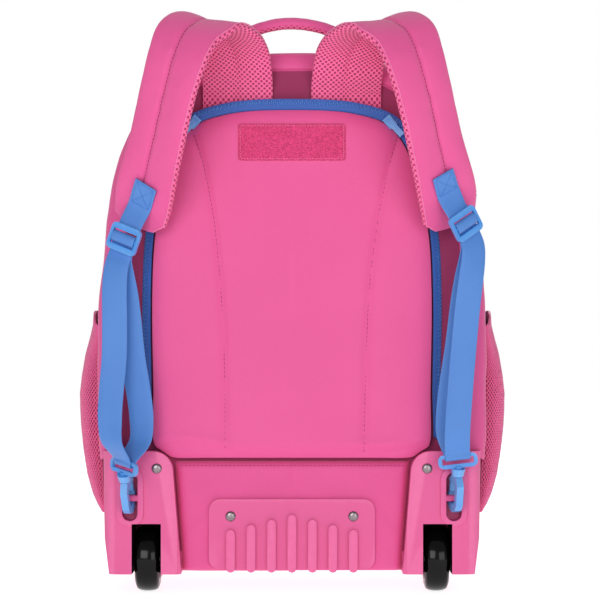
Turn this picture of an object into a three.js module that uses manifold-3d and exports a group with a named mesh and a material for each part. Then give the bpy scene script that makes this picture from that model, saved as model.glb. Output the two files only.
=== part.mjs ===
// A wheeled school backpack seen from its back panel, in millimetres.
// +X is to the right of someone who faces the back panel, +Y points from the back panel to the front
// pocket, and +Z is up. The wheels and the two front feet stand on Z = 0.
import * as THREE from 'three';
import { mergeVertices } from 'three/addons/utils/BufferGeometryUtils.js';
import Module from 'manifold-3d';

const wasm = await Module();
wasm.setup();

// Clearances
const seatGap = 0.3; // between two pieces that rest on each other
const slideGap = 0.6; // round each telescoping tube
const turnGap = 0.4; // between hub and axle

// Bag body
const bodyWidth = 386;
const bodyDepth = 200;
const bodyHeight = 518;
const groundClearance = 22;
const bodyEdgeRound = 18; // how far the outline draws in where the gusset meets the rear face
const sideSwell = 2.2; // how far the filled sides bow out
const clothWall = 2.5;
const rearWall = 6; // rear cloth with its stiffening board, as far as the handle sleeve
const outlinePoints = 40;

// Main zip and front pocket
const mainZipSetback = 120; // from the rear face to the middle of the zip
const mainZipFoot = 150; // height at which the zip starts on each side
const zipSlit = 7;
const zipBand = 26;
const tapeThick = 1.4;
const coilRise = 1.3;
const pocketWidth = 296;
const pocketDepth = 45;
const pocketHeight = 286;
const pocketFoot = 48;
const pocketEdgeRound = 17;
const pocketZipSetback = 19; // from the body's front face to the middle of the pocket zip
const pocketZipFoot = 190;
const pocketZipBand = 18;

// Zip sliders: a flat body on the coil, a post and a hanging pull
const sliderWidth = 9;
const sliderRise = 4;
const postWidth = 3;
const pullWidth = 6;
const pullThick = 2;
const pullRise = 5; // from the slider's underside to the pull
const pullEye = 2; // how far the pull and the post reach each side of the post's middle
const mainSliderLength = 14;
const mainPullLength = 24;
const mainSliderHeight = 424; // of the lower one of the two that meet on the right
const mainSliderStep = 17; // from one slider to the next
const mainPullSwing = 40; // degrees that the upper pull has swung to the front
const mainSliderLift = 0.4; // keeps the turned slider's corners off the band
const panelSliderLength = 12;
const panelPullLength = 16;
const panelSliderTilt = -42; // degrees that a pull points outwards, along the zip
const panelSliderSpread = 0.7; // share of half the flap's width
const panelSliderDrop = 0.035; // below the flap's top, as a share of its height
const panelSliderSink = 0.5; // the tape there lies this much below its free edge
const pocketSliderLength = 13;
const pocketPullLength = 20;

// Stowage flap on the back, with its zip and its patch
const flapWidth = 278;
const flapHeight = 346;
const flapFoot = 135;
const flapThick = 10;
const stowageGap = 8;
const flapCrown = 16; // how far the padding's edge slopes inwards
const flapHem = 11;
const flapTape = 10.5;
const flapZipFoot = 152;
const flapZipSpare = 0.5; // between the padding's edge and the tape
const flapZipRaise = 1.6; // how far the tape's inner edge stands towards the back of the padding's base
const flapZipOpenRaise = 3.2; // and its outer edge, where it stands free over the top
const wallTape = 7;
const wallTapeOffset = 3.5; // from the padding's outline to the tape's inner edge
const wallTapeThick = 1;
const patchWidth = 107;
const patchHeight = 37;
const patchThick = 1.6;
const patchCorner = 4;
const patchDrop = 32.5; // from the flap's top to the patch's middle

// Lower back: cloth cover, kick plate and rivets
const coverThick = 12;
const coverSideGap = 1;
const coverTopGap = 3.5;
const kickCorner = 11;
const kickWidth = 165;
const kickTop = 94;
const kickFoot = 24;
const kickThick = 3;
const ribCount = 7;
const ribWidth = 8.6;
const ribPitch = 20.3;
const ribRise = 4.5;
const ribTop = 79; // top of the middle rib
const ribStep = 5; // each rib is this much lower than its inner neighbour
const ribFoot = 21.5;
const rivetRadius = 4.8;
const rivetRise = 2;
const kickRivetSpread = 61;
const kickRivetHeight = 77;

// Wheels and their housings
const wheelRadius = 33;
const wheelWidth = 25;
const wheelSpread = 144.4; // from the middle of the bag to the middle of each wheel
const wheelSetback = 12;
const rimRadius = 18.3;
const axleRadius = 3;
const axleLength = 45;
const hubSpare = 1; // the hub stays this much narrower than the tyre
const wellWidth = 29;
const wellClearance = 4;
const housingInner = 110;
const housingTop = 142;
const housingFoot = 20;
const housingStandOff = 22; // the housing's face stands this far behind the body's rear face
const housingReach = 65; // and its sides reach this far forward
const housingCorner = 20;
const housingLean = 8; // how far the inner edge leans outwards from its foot to its corner
const housingRound = 17; // of the upright outer rear edge
const housingBevel = 4;
const cutterReach = 60; // how far a housing's cutter runs past the housing
const hookSlotSpread = 160.5;
const hookSlotWidth = 15.5;
const hookSlotFoot = 73;
const hookSlotTop = 121;
const hookSlotDepth = 18;
const slotRim = 5.5;
const slotRimRise = 2;
const barRadius = 3.4;
const barHeight = 95.5;
const barInset = 1.4; // from the housing's face to the bar's middle, towards the back
const housingRivetSpread = 134;
const housingRivetHeight = 125;

// Front feet
const footSpread = 150;
const footSetback = 148;
const footLength = 34;
const footWidth = 24;
const footCorner = 8;

// Shoulder straps
const strapWidth = 70;
const strapThick = 12;
const strapReach = 90; // how far the straps stand off towards the wearer
const strapLine = 193; // half of the shoulder width that the straps' route follows
const strapRise = 569; // height of the straps' ridge

// Webbing, adjusters and hooks
const webbingWidth = 25;
const webbingThick = 1.5;
const adjusterWidth = 33;
const adjusterHeight = 27;
const adjusterThick = 3.6;
const adjusterBar = 3.6;
const adjusterFrame = 6;
const adjusterCorner = 5;
const eyeWidth = 39.4;
const eyeBar = 4;
const eyeThick = 3.6;
const eyeHole = 6;
const collarRadius = 7.2;
const collarHeight = 8;
const hookThick = 7;
const hookHeight = 36;
const hookWidth = 28;
const gateThick = 5.5;
const gateWidth = 4.2;
const gateLength = 11.2;

// Side pockets
const sidePocketSpan = 142;
const sidePocketRear = 28;
const sidePocketFoot = 78;
const sidePocketHeight = 203;
const sidePocketBulge = 24;
const sidePocketWall = 2;
const hemHeight = 10;
const hemThick = 3;
const hemDip = 15; // how far the mouth's ends hang below its middle

// Grab handle
const grabSpan = 132;
const grabFoot = 514;
const grabRise = 55;
const grabThick = 12.5;
const grabSetback = 2.7; // from the rear face to the middle of each flattened foot

// Pull handle
const sleeveWidth = 152;
const sleeveDepth = 24;
const sleeveFloor = 25;
const tubeSpread = 62;
const tubeWide = 16;
const tubeDeep = 12;
const tubeWall = 1.2;
const frameTop = 500;
const crossbarHeight = 14;
const innerTubeFoot = 70;
const yokeHeight = 8;
const gripWidth = 140;
const gripDepth = 18;
const gripHeight = 24;
const gripRound = 7;
const bracketRim = 3; // of the frame's two crossbars round the tubes

// What hangs differently on the two sides. Lean, turn, pitch, roll and twist are degrees, and hang is
// how much further out a strap's front run hangs. A tab's seats are places along the strap, each with
// how far the tab sits outside the strap's middle.
const sides = [
  {
    name: 'left', sign: -1, hang: 0,
    tab: { twist: 3, seats: [[0.808, -3], [0.845, -1.5], [0.88, 0]] },
    adjuster: { out: 164.7, back: 44, up: 352, lean: 21, turn: 22 },
    hook: { turn: 12, pitch: 30, eyeTurn: 46, eyeRoll: 10 },
    loop: { frontSpread: 11, rearSpread: 14.5, frontOut: 9, rearIn: 6 },
  },
  {
    name: 'right', sign: 1, hang: 8,
    tab: { twist: 7, seats: [[0.785, -4], [0.81, -3], [0.835, -2]] },
    adjuster: { out: 170.2, back: 50, up: 366.8, lean: 31, turn: 30 },
    hook: { turn: 15, pitch: 14, eyeTurn: 2, eyeRoll: 6.5 },
    loop: { frontSpread: -2, rearSpread: 10, frontOut: 8, rearIn: 5 },
  },
];

const radians = THREE.MathUtils.degToRad;
const vector = (x, y, z) => new THREE.Vector3(x, y, z);
const backpack = new THREE.Group();

// Surfaces: colour, roughness and metalness of each kind
const looks = {
  cloth: { color: 0xe45a9b, roughness: 0.85, metalness: 0 },
  shade: { color: 0xc03878, roughness: 0.85, metalness: 0 },
  net: { color: 0xff6fa8, roughness: 0.8, metalness: 0 },
  plastic: { color: 0xf768a8, roughness: 0.42, metalness: 0 },
  loopTape: { color: 0xd5306f, roughness: 1, metalness: 0 },
  zip: { color: 0x2e6fc8, roughness: 0.6, metalness: 0 },
  navy: { color: 0x0a1a55, roughness: 0.7, metalness: 0 },
  webbing: { color: 0x5590d0, roughness: 0.7, metalness: 0 },
  buckle: { color: 0x4a90da, roughness: 0.35, metalness: 0 },
  steel: { color: 0xb5aeb0, roughness: 0.3, metalness: 1 },
  tyre: { color: 0x0c0c0e, roughness: 0.25, metalness: 0 },
  hub: { color: 0x1a1a1c, roughness: 0.4, metalness: 0 },
  tube: { color: 0x8d9094, roughness: 0.35, metalness: 1 },
  dark: { color: 0x2a2a2e, roughness: 0.5, metalness: 0 },
};

// Solid from a closed geometry, without its flat triangles
function solid(geometry) {
  const bare = new THREE.BufferGeometry();
  bare.setAttribute('position', geometry.getAttribute('position').clone());
  if (geometry.index) bare.setIndex(geometry.index.clone());
  const merged = mergeVertices(bare, 1e-4);
  const index = merged.index.array;
  const kept = [];
  for (let i = 0; i < index.length; i += 3) {
    const [a, b, c] = index.subarray(i, i + 3);
    if (a !== b && b !== c && c !== a) kept.push(a, b, c);
  }
  return new wasm.Manifold(new wasm.Mesh({
    numProp: 3,
    vertProperties: Float32Array.from(merged.getAttribute('position').array),
    triVerts: Uint32Array.from(kept),
  }));
}

const joined = (first, ...others) => others.reduce((sum, other) => sum.add(other), first);
const cut = (first, ...others) => others.reduce((rest, other) => rest.subtract(other), first);

// Adds a named piece. A piece for the left side is modelled on the right and mirrored.
function addPiece(name, shape, look, sign = 1) {
  const mesh = shape.getMesh();
  const positions = Float32Array.from(mesh.vertProperties);
  const index = Uint32Array.from(mesh.triVerts);
  if (sign < 0) {
    for (let i = 0; i < positions.length; i += 3) positions[i] = -positions[i];
    for (let i = 0; i < index.length; i += 3) [index[i], index[i + 1]] = [index[i + 1], index[i]];
  }
  const geometry = new THREE.BufferGeometry();
  geometry.setAttribute('position', new THREE.BufferAttribute(positions, 3));
  geometry.setIndex(new THREE.BufferAttribute(index, 1));
  geometry.computeVertexNormals();
  const piece = new THREE.Mesh(geometry, new THREE.MeshStandardMaterial(looks[look]));
  piece.name = name;
  backpack.add(piece);
}

// Triangles over a flat or nearly flat ring of points
function capTriangles(ring) {
  const normal = vector(0, 0, 0);
  ring.forEach((p, i) => normal.add(p.clone().cross(ring[(i + 1) % ring.length])));
  normal.normalize();
  const u = Math.abs(normal.z) < 0.9 ? vector(0, 0, 1).cross(normal) : vector(1, 0, 0).cross(normal);
  u.normalize();
  const v = normal.clone().cross(u);
  const flat = ring.map((p) => new THREE.Vector2(p.dot(u), p.dot(v)));
  return THREE.ShapeUtils.triangulateShape(flat, []).map(([a, b, c]) => {
    const turn = flat[b].clone().sub(flat[a]).cross(flat[c].clone().sub(flat[a]));
    return turn > 0 ? [a, b, c] : [a, c, b];
  });
}

// Solid from points and triangles that close it, turned so that its faces point out
function closedSolid(points, faces) {
  const volume = faces.reduce((sum, [a, b, c]) => sum + points[a].dot(points[b].clone().cross(points[c])), 0);
  const turned = volume < 0 ? faces.map(([a, b, c]) => [a, c, b]) : faces;
  const geometry = new THREE.BufferGeometry().setFromPoints(points);
  geometry.setIndex(turned.flat());
  return solid(geometry);
}

// Sheet between an outer and an inner grid of points, closed along its four edges
function thickSheet(outer, inner) {
  const columns = outer[0].length;
  const rows = outer.length;
  const id = (r, c) => r * columns + c;
  const behind = rows * columns;
  const faces = [];
  const quad = (a, b, c, d) => faces.push([a, b, c], [a, c, d]);
  const side = (p, q) => quad(q, p, p + behind, q + behind);
  for (let r = 0; r < rows - 1; r += 1) {
    for (let c = 0; c < columns - 1; c += 1) {
      const corners = [id(r, c), id(r, c + 1), id(r + 1, c + 1), id(r + 1, c)];
      quad(...corners);
      quad(...corners.reverse().map((corner) => corner + behind));
    }
    side(id(r, columns - 1), id(r + 1, columns - 1));
    side(id(r + 1, 0), id(r, 0));
  }
  for (let c = 0; c < columns - 1; c += 1) {
    side(id(0, c), id(0, c + 1));
    side(id(rows - 1, c + 1), id(rows - 1, c));
  }
  return closedSolid([...outer.flat(), ...inner.flat()], faces);
}

// Solid through rings that have the same number of points, either capped or running round on itself.
// The second half of each ring is split along the other diagonal, so both faces of a thin twisted band
// are split alike.
function loft(rings, endless = false) {
  const count = rings[0].length;
  const faces = [];
  const spans = endless ? rings.length : rings.length - 1;
  for (let r = 0; r < spans; r += 1) {
    const here = r * count;
    const there = ((r + 1) % rings.length) * count;
    for (let i = 0; i < count; i += 1) {
      const j = (i + 1) % count;
      if (i < count / 2) faces.push([here + i, here + j, there + j], [here + i, there + j, there + i]);
      else faces.push([here + i, here + j, there + i], [here + j, there + j, there + i]);
    }
  }
  if (!endless) {
    const last = (rings.length - 1) * count;
    capTriangles(rings[0]).forEach(([a, b, c]) => faces.push([a, c, b]));
    capTriangles(rings[rings.length - 1]).forEach(([a, b, c]) => faces.push([last + a, last + b, last + c]));
  }
  return closedSolid(rings.flat(), faces);
}

function box(x0, x1, y0, y1, z0, z1) {
  const geometry = new THREE.BoxGeometry(x1 - x0, y1 - y0, z1 - z0);
  return solid(geometry.translate((x0 + x1) / 2, (y0 + y1) / 2, (z0 + z1) / 2));
}

// A flat shape drawn in (X, Z), filled from one Y to another
function plateXZ(shape, y0, y1, curveSegments = 5) {
  const geometry = new THREE.ExtrudeGeometry(shape, { depth: y1 - y0, bevelEnabled: false, curveSegments });
  return solid(geometry.rotateX(Math.PI / 2).translate(0, y1, 0));
}

// A flat shape drawn in (X, Y), filled from one Z to another
function plateXY(shape, z0, z1, curveSegments = 5) {
  const geometry = new THREE.ExtrudeGeometry(shape, { depth: z1 - z0, bevelEnabled: false, curveSegments });
  return solid(geometry.translate(0, 0, z0));
}

// A round bar along X
function barX(radius, x0, x1, y, z, segments) {
  const geometry = new THREE.CylinderGeometry(radius, radius, x1 - x0, segments);
  return solid(geometry.rotateZ(Math.PI / 2).translate((x0 + x1) / 2, y, z));
}

function roundedShape(x0, x1, y0, y1, radius) {
  const shape = new THREE.Shape();
  shape.moveTo(x0 + radius, y0);
  shape.lineTo(x1 - radius, y0);
  shape.absarc(x1 - radius, y0 + radius, radius, -Math.PI / 2, 0);
  shape.lineTo(x1, y1 - radius);
  shape.absarc(x1 - radius, y1 - radius, radius, 0, Math.PI / 2);
  shape.lineTo(x0 + radius, y1);
  shape.absarc(x0 + radius, y1 - radius, radius, Math.PI / 2, Math.PI);
  shape.lineTo(x0, y0 + radius);
  shape.absarc(x0 + radius, y0 + radius, radius, Math.PI, Math.PI * 1.5);
  return shape;
}

// Value of a table's second column at a place in its first
function tableValue(rows, place) {
  const next = rows.findIndex(([at]) => at >= place);
  if (next <= 0) return rows[next === 0 ? 0 : rows.length - 1][1];
  const [at0, value0] = rows[next - 1];
  const [at1, value1] = rows[next];
  return THREE.MathUtils.mapLinear(place, at0, at1, value0, value1);
}

// Ring of points round a symmetric outline that stands in the XZ plane at one Y
function outlineRing(rows, halfWidth, bottom, height, y, count) {
  const right = rows.map(([across, up]) => vector(across * halfWidth, y, bottom + up * height));
  const left = right.slice(1, -1).reverse().map((p) => vector(-p.x, y, p.z));
  const curve = new THREE.CatmullRomCurve3([...right, ...left], true, 'centripetal');
  return curve.getSpacedPoints(count).slice(0, count);
}

// Bag body

// Right half of the body's outline. across: share of half the width, up: share of the height
const bodyOutline = [
  [0, 0], [0.5, 0], [0.85, 0], [0.87, 0.0005], [0.93, 0.009], [0.952, 0.035], [0.974, 0.08], [0.99, 0.19],
  [1, 0.344], [0.995, 0.508], [0.962, 0.637], [0.938, 0.714], [0.875, 0.811], [0.781, 0.884],
  [0.646, 0.942], [0.443, 0.981], [0.208, 0.998], [0, 1],
];
// How the outline draws in along the depth. along: share of the depth, inset: share of the edge round
const bodyInsets = [
  [0, 1], [0.01, 0.62], [0.025, 0.25], [0.045, 0.06], [0.07, 0], [0.35, 0], [0.65, 0],
  [0.86, 0], [0.94, 0.3], [0.98, 0.7], [1, 1.15],
];
// How the filled sides bow out along the depth. along: share of the depth, swell: share of the swell
const bodySwells = [[0.07, 0], [0.35, 1], [0.65, 1], [0.86, 0]];

const bodyInset = (y) => tableValue(bodyInsets, y / bodyDepth) * bodyEdgeRound;

function bodyRing(y, inset) {
  const half = bodyWidth / 2 + tableValue(bodySwells, y / bodyDepth) * sideSwell;
  return outlineRing(bodyOutline, half - inset, groundClearance + inset, bodyHeight - 2 * inset, y, outlinePoints);
}

// Half width of the body's side at a depth and a height
function bodyHalfAt(y, z) {
  const ring = bodyRing(y, bodyInset(y));
  const above = ring.findIndex((p, i) => i > 0 && p.z >= z);
  const part = (z - ring[above - 1].z) / (ring[above].z - ring[above - 1].z);
  return THREE.MathUtils.lerp(ring[above - 1].x, ring[above].x, part);
}

// Outer side of a housing, from its foot up. across: share of half the body's width, up: share of its height
const housingSide = [[0.94, 0], [0.965, 0.29], [0.975, 1]];

// Envelope of one wheel housing, grown by a clearance. With open sides it is a cutter.
function housingBlock(grow, open) {
  const inner = housingInner - grow;
  const top = housingTop + grow;
  const corner = housingCorner + grow;
  const outer = bodyWidth / 2;
  const face = new THREE.Shape();
  const foot = open ? housingFoot - cutterReach : housingFoot;
  const side = open ? outer + cutterReach : outer * housingSide[2][0];
  face.moveTo(inner, foot);
  if (open) face.lineTo(side, foot);
  else housingSide.forEach(([across, up]) => face.lineTo(outer * across, housingFoot + up * (top - housingFoot)));
  face.lineTo(side, top);
  face.lineTo(inner + housingLean + corner, top);
  face.absarc(inner + housingLean + corner, top - corner, corner, Math.PI / 2, Math.PI);
  face.lineTo(inner, housingFoot);
  if (open) face.lineTo(inner, foot);
  const rear = -housingStandOff - (open ? cutterReach : 0);
  const round = open ? 1 : housingRound;
  const bevel = open ? 1 : housingBevel;
  const plan = new THREE.Shape();
  plan.moveTo(inner, housingReach + grow);
  plan.lineTo(inner, rear + bevel);
  plan.lineTo(inner + bevel, rear);
  plan.lineTo(side - round, rear);
  plan.absarc(side - round, rear + round, round, -Math.PI / 2, 0);
  plan.lineTo(side, housingReach + grow);
  plan.lineTo(inner, housingReach + grow);
  const tall = plateXZ(face, rear - 1, housingReach + grow + (open ? 0 : 1), 4);
  return tall.intersect(plateXY(plan, foot - 1, top + 1, 4));
}

function mirroredPair(make) {
  const right = make();
  const mesh = right.getMesh();
  const positions = Float32Array.from(mesh.vertProperties);
  for (let i = 0; i < positions.length; i += 3) positions[i] = -positions[i];
  const index = Uint32Array.from(mesh.triVerts);
  for (let i = 0; i < index.length; i += 3) [index[i], index[i + 1]] = [index[i + 1], index[i]];
  const left = new wasm.Manifold(new wasm.Mesh({ numProp: 3, vertProperties: positions, triVerts: index }));
  return right.add(left);
}

const sleeveRear = rearWall;
const sleeveFront = rearWall + sleeveDepth;

function makeBagShell() {
  const outer = loft(bodyInsets.map(([along]) => bodyRing(along * bodyDepth, bodyInset(along * bodyDepth))));
  const cavityRing = (y) => bodyRing(y, bodyInset(y) + clothWall);
  const rearInside = rearWall - clothWall;
  const frontInside = bodyDepth - clothWall;
  const places = [rearInside, bodyDepth * 0.045, bodyDepth * 0.35, bodyDepth * 0.65, bodyDepth * 0.86,
    bodyDepth * 0.94, frontInside];
  const sleeveHalf = sleeveWidth / 2;
  const reach = groundClearance + bodyHeight + bodyDepth;
  const sleeveWalls = box(-sleeveHalf - clothWall, sleeveHalf + clothWall, -1, sleeveFront + clothWall,
    0, reach);
  const cavity = cut(loft(places.map(cavityRing)), sleeveWalls,
    mirroredPair(() => housingBlock(seatGap + clothWall, true)));
  const sleeve = box(-sleeveHalf, sleeveHalf, sleeveRear, sleeveFront, sleeveFloor, reach);
  const slit = box(-bodyWidth, bodyWidth, mainZipSetback - zipSlit / 2, mainZipSetback + zipSlit / 2,
    mainZipFoot, reach);
  return cut(outer, cavity, sleeve, slit, mirroredPair(() => housingBlock(seatGap, true)));
}

// Zip band laid over a gusset: tape with a raised coil, from one foot over the top to the other
function zipBandOver(ringAt, y, foot, width) {
  const halfCoil = width * 0.13;
  // place: share of the band's half width, rise above the tape's underside
  const section = [
    [-1, 0], [1, 0], [1, tapeThick], [halfCoil / (width / 2), tapeThick], [0, tapeThick + coilRise],
    [-halfCoil / (width / 2), tapeThick],
  ];
  const at = ringAt(seatGap);
  const full = ringAt(seatGap + tapeThick + coilRise);
  const first = at.findIndex((p, i) => i > 0 && p.z >= foot);
  const last = at.length - first;
  const rings = [];
  for (let i = first; i <= last; i += 1) {
    const rise = full[i].clone().sub(at[i]).divideScalar(tapeThick + coilRise);
    rings.push(section.map(([place, lift]) => {
      const p = at[i].clone().addScaledVector(rise, lift);
      return p.setY(y + place * width / 2);
    }));
  }
  return loft(rings);
}

// Slider with a hanging pull, against a band whose outside faces +X
// swing: degrees that the pull has turned on its post
function makeSlider(bodyLength, pullLength, swing = 0) {
  const top = pullRise + pullThick;
  const slider = box(0, sliderRise, -sliderWidth / 2, sliderWidth / 2, -bodyLength / 2, bodyLength / 2);
  const post = box(sliderRise - 1, top, -postWidth / 2, postWidth / 2, -pullEye, pullEye);
  const pull = box(pullRise, top, -pullWidth / 2, pullWidth / 2, -pullLength - pullEye, pullEye);
  return joined(slider, post, pull.rotate([swing, 0, 0]));
}

addPiece('bag_shell', makeBagShell(), 'cloth');

const mainRing = (rise) => bodyRing(mainZipSetback, bodyInset(mainZipSetback) - rise);
addPiece('main_zip', zipBandOver(mainRing, mainZipSetback, mainZipFoot, zipBand), 'zip');

const bandRise = seatGap + tapeThick + coilRise;
// The closed zip's two sliders meet on the right
for (const [name, height, swing] of [
  ['lower', mainSliderHeight, 0], ['upper', mainSliderHeight + mainSliderStep, mainPullSwing],
]) {
  const half = mainSliderLength / 2;
  const gusset = (up) => bodyHalfAt(mainZipSetback, height + up);
  const lean = THREE.MathUtils.radToDeg(Math.atan2(gusset(-half) - gusset(half), mainSliderLength));
  const reach = gusset(0) + bandRise + seatGap + mainSliderLift;
  const turned = makeSlider(mainSliderLength, mainPullLength, swing).rotate([0, -lean, 0]);
  addPiece(`main_zip_slider_${name}`, turned.translate([reach, mainZipSetback, height]), 'buckle');
}

// Front pocket

// Right half of the pocket's outline. across: share of half the width, up: share of the height
const pocketOutline = [
  [0, 0], [0.6, 0], [0.86, 0.004], [0.95, 0.04], [0.985, 0.12], [1, 0.4], [0.98, 0.65],
  [0.92, 0.8], [0.8, 0.91], [0.58, 0.975], [0.3, 0.997], [0, 1],
];
// along: share of the pocket's depth, inset: share of its edge round
const pocketInsets = [[0, 0], [0.6, 0.02], [0.8, 0.25], [0.93, 0.62], [1, 1.2]];
const pocketBase = bodyDepth + seatGap;

function pocketRing(y, inset) {
  return outlineRing(pocketOutline, pocketWidth / 2 - inset, pocketFoot + inset, pocketHeight - 2 * inset,
    y, 32);
}

function makeFrontPocket() {
  const inset = (along) => tableValue(pocketInsets, along) * pocketEdgeRound;
  const outer = loft(pocketInsets.map(([along]) => pocketRing(pocketBase + along * pocketDepth, inset(along))));
  const inside = loft([
    pocketRing(pocketBase - clothWall, clothWall),
    pocketRing(pocketBase + pocketDepth * 0.6, clothWall),
    pocketRing(pocketBase + pocketDepth * 0.82, inset(0.82) + clothWall),
    pocketRing(pocketBase + pocketDepth - clothWall, inset(1) + clothWall * 0.5),
  ]);
  const middle = pocketBase + pocketZipSetback;
  const slit = box(-pocketWidth, pocketWidth, middle - zipSlit / 2, middle + zipSlit / 2,
    pocketZipFoot, pocketFoot + pocketHeight + pocketDepth);
  return cut(outer, inside, slit);
}

addPiece('front_pocket', makeFrontPocket(), 'cloth');
const pocketZipY = pocketBase + pocketZipSetback;
const pocketInsetThere = tableValue(pocketInsets, pocketZipSetback / pocketDepth) * pocketEdgeRound;
const pocketBandRing = (rise) => pocketRing(pocketZipY, pocketInsetThere - rise);
addPiece('front_pocket_zip', zipBandOver(pocketBandRing, pocketZipY, pocketZipFoot, pocketZipBand), 'zip');
{
  const top = pocketFoot + pocketHeight + bandRise + seatGap;
  const lying = makeSlider(pocketSliderLength, pocketPullLength).rotate([0, -90, 0]);
  addPiece('front_pocket_slider', lying.translate([0, pocketZipY, top]), 'buckle');
}

// Stowage flap, its zip and its patch

// Right half of the flap's outline. across: share of half the width, up: share of the height
const flapOutline = [
  [0, 0], [0.6, 0], [0.82, 0], [0.872, 0.004], [0.9, 0.012], [0.935, 0.0215], [0.96, 0.0275],
  [0.985, 0.037], [0.992, 0.2],
  [1, 0.46], [0.979, 0.637],
  [0.914, 0.777], [0.8, 0.9], [0.69, 0.955], [0.43, 0.99], [0, 1],
];
const flapPoints = 40;
const flapBack = -stowageGap;
const flapFront = -stowageGap - flapThick;

function flapRing(y, inset) {
  return outlineRing(flapOutline, flapWidth / 2 - inset, flapFoot + inset, flapHeight - 2 * inset, y, flapPoints);
}

function makeFlap() {
  const pad = loft([
    flapRing(flapBack, 0),
    flapRing(flapBack - flapThick * 0.35, 0),
    flapRing(flapBack - flapThick * 0.7, flapCrown * 0.25),
    flapRing(flapBack - flapThick * 0.93, flapCrown * 0.8),
    flapRing(flapFront, flapCrown * 1.8),
  ]);
  const half = housingInner + housingLean / 2;
  return pad.add(box(-half, half, flapBack - 1, -seatGap, flapFoot + 0.5, flapFoot + flapHem));
}

// The flap's own tape: it slopes down to the wall along the closed sides and stands free over the top
function makeFlapZip() {
  const inner = flapRing(0, -flapZipSpare);
  const outer = flapRing(0, -flapZipSpare - flapTape);
  const first = inner.findIndex((p, i) => i > 0 && p.z >= flapZipFoot);
  const last = inner.length - first;
  const closedTop = flapFoot + flapHeight * 0.8;
  const openTop = flapFoot + flapHeight * 0.98;
  const rings = [];
  for (let i = first; i <= last; i += 1) {
    const open = THREE.MathUtils.smoothstep(inner[i].z, closedTop, openTop);
    const innerY = flapBack - flapZipRaise;
    const outerY = THREE.MathUtils.lerp(-seatGap, flapBack - flapZipOpenRaise, open ** 1.5);
    rings.push([
      vector(inner[i].x, innerY, inner[i].z),
      vector(outer[i].x, outerY, outer[i].z),
      vector(outer[i].x, outerY - tapeThick, outer[i].z),
      vector(inner[i].x, innerY - tapeThick, inner[i].z),
    ]);
  }
  return loft(rings);
}

// The facing tape on the wall, over the open top only
function makeWallTape() {
  const inner = flapRing(0, -wallTapeOffset);
  const outer = flapRing(0, -wallTapeOffset - wallTape);
  const first = inner.findIndex((p, i) => i > 0 && p.z >= flapFoot + flapHeight * 0.955);
  const rings = [];
  for (let i = first; i <= inner.length - first; i += 1) {
    rings.push([
      vector(inner[i].x, -seatGap, inner[i].z),
      vector(outer[i].x, -seatGap, outer[i].z),
      vector(outer[i].x, -seatGap - wallTapeThick, outer[i].z),
      vector(inner[i].x, -seatGap - wallTapeThick, inner[i].z),
    ]);
  }
  return loft(rings);
}

addPiece('back_panel', makeFlap(), 'cloth');
addPiece('panel_zip', makeFlapZip(), 'zip');
addPiece('panel_zip_wall_tape', makeWallTape(), 'navy');

const flapTop = flapFoot + flapHeight;
{
  const patch = roundedShape(-patchWidth / 2, patchWidth / 2, flapTop - patchDrop - patchHeight / 2,
    flapTop - patchDrop + patchHeight / 2, patchCorner);
  addPiece('panel_patch', plateXZ(patch, flapFront - seatGap - patchThick, flapFront - seatGap, 3), 'loopTape');
}

for (const { name, sign } of sides) {
  const slider = makeSlider(panelSliderLength, panelPullLength);
  const upright = slider.rotate([0, 0, -90]).rotate([0, panelSliderTilt, 0]);
  const across = flapWidth / 2 * panelSliderSpread;
  const behind = flapBack - flapZipOpenRaise - tapeThick - seatGap + panelSliderSink;
  const place = [across, behind, flapTop - flapHeight * panelSliderDrop];
  addPiece(`panel_zip_slider_${name}`, upright.translate(place), 'buckle', sign);
}

// Lower back

function makeCover() {
  const leanPerUp = housingLean / (housingTop - housingCorner - housingFoot);
  const half = (z) => housingInner + leanPerUp * (z - housingFoot) - coverSideGap;
  const foot = groundClearance;
  const top = flapFoot - coverTopGap;
  // place: share of the cover's thickness, draw: how far the edge draws in
  const rows = [[0, 0], [0.7, 0], [0.92, 2], [1, 5]];
  return loft(rows.map(([place, draw]) => {
    const y = -seatGap - place * (coverThick - seatGap);
    return [
      vector(-half(foot) + draw, y, foot), vector(half(foot) - draw, y, foot),
      vector(half(top) - draw, y, top - draw), vector(0, y, top - draw), vector(-half(top) + draw, y, top - draw),
    ];
  }));
}

function makeKickPlate() {
  const front = -coverThick - seatGap;
  const half = kickWidth / 2;
  const plate = plateXZ(roundedShape(-half, half, kickFoot, kickTop, kickCorner), front - kickThick, front, 2);
  const ribs = [];
  for (let i = 0; i < ribCount; i += 1) {
    const step = i - (ribCount - 1) / 2;
    const x = step * ribPitch;
    const shape = roundedShape(x - ribWidth / 2, x + ribWidth / 2, ribFoot, ribTop - Math.abs(step) * ribStep,
      ribWidth * 0.45);
    ribs.push(plateXZ(shape, front - kickThick - ribRise, front - 0.5, 1));
  }
  return joined(plate, ...ribs);
}

// Domed rivet head that points towards the back
function makeRivet() {
  const profile = [[0, 0], [rivetRadius, 0], [rivetRadius, 0.5], [rivetRadius * 0.75, rivetRise * 0.75], [0, rivetRise]];
  const geometry = new THREE.LatheGeometry(profile.map(([r, h]) => new THREE.Vector2(r, h)), 14);
  return solid(geometry.rotateX(Math.PI));
}

addPiece('base_cover', makeCover(), 'shade');
addPiece('kick_plate', makeKickPlate(), 'plastic');

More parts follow.
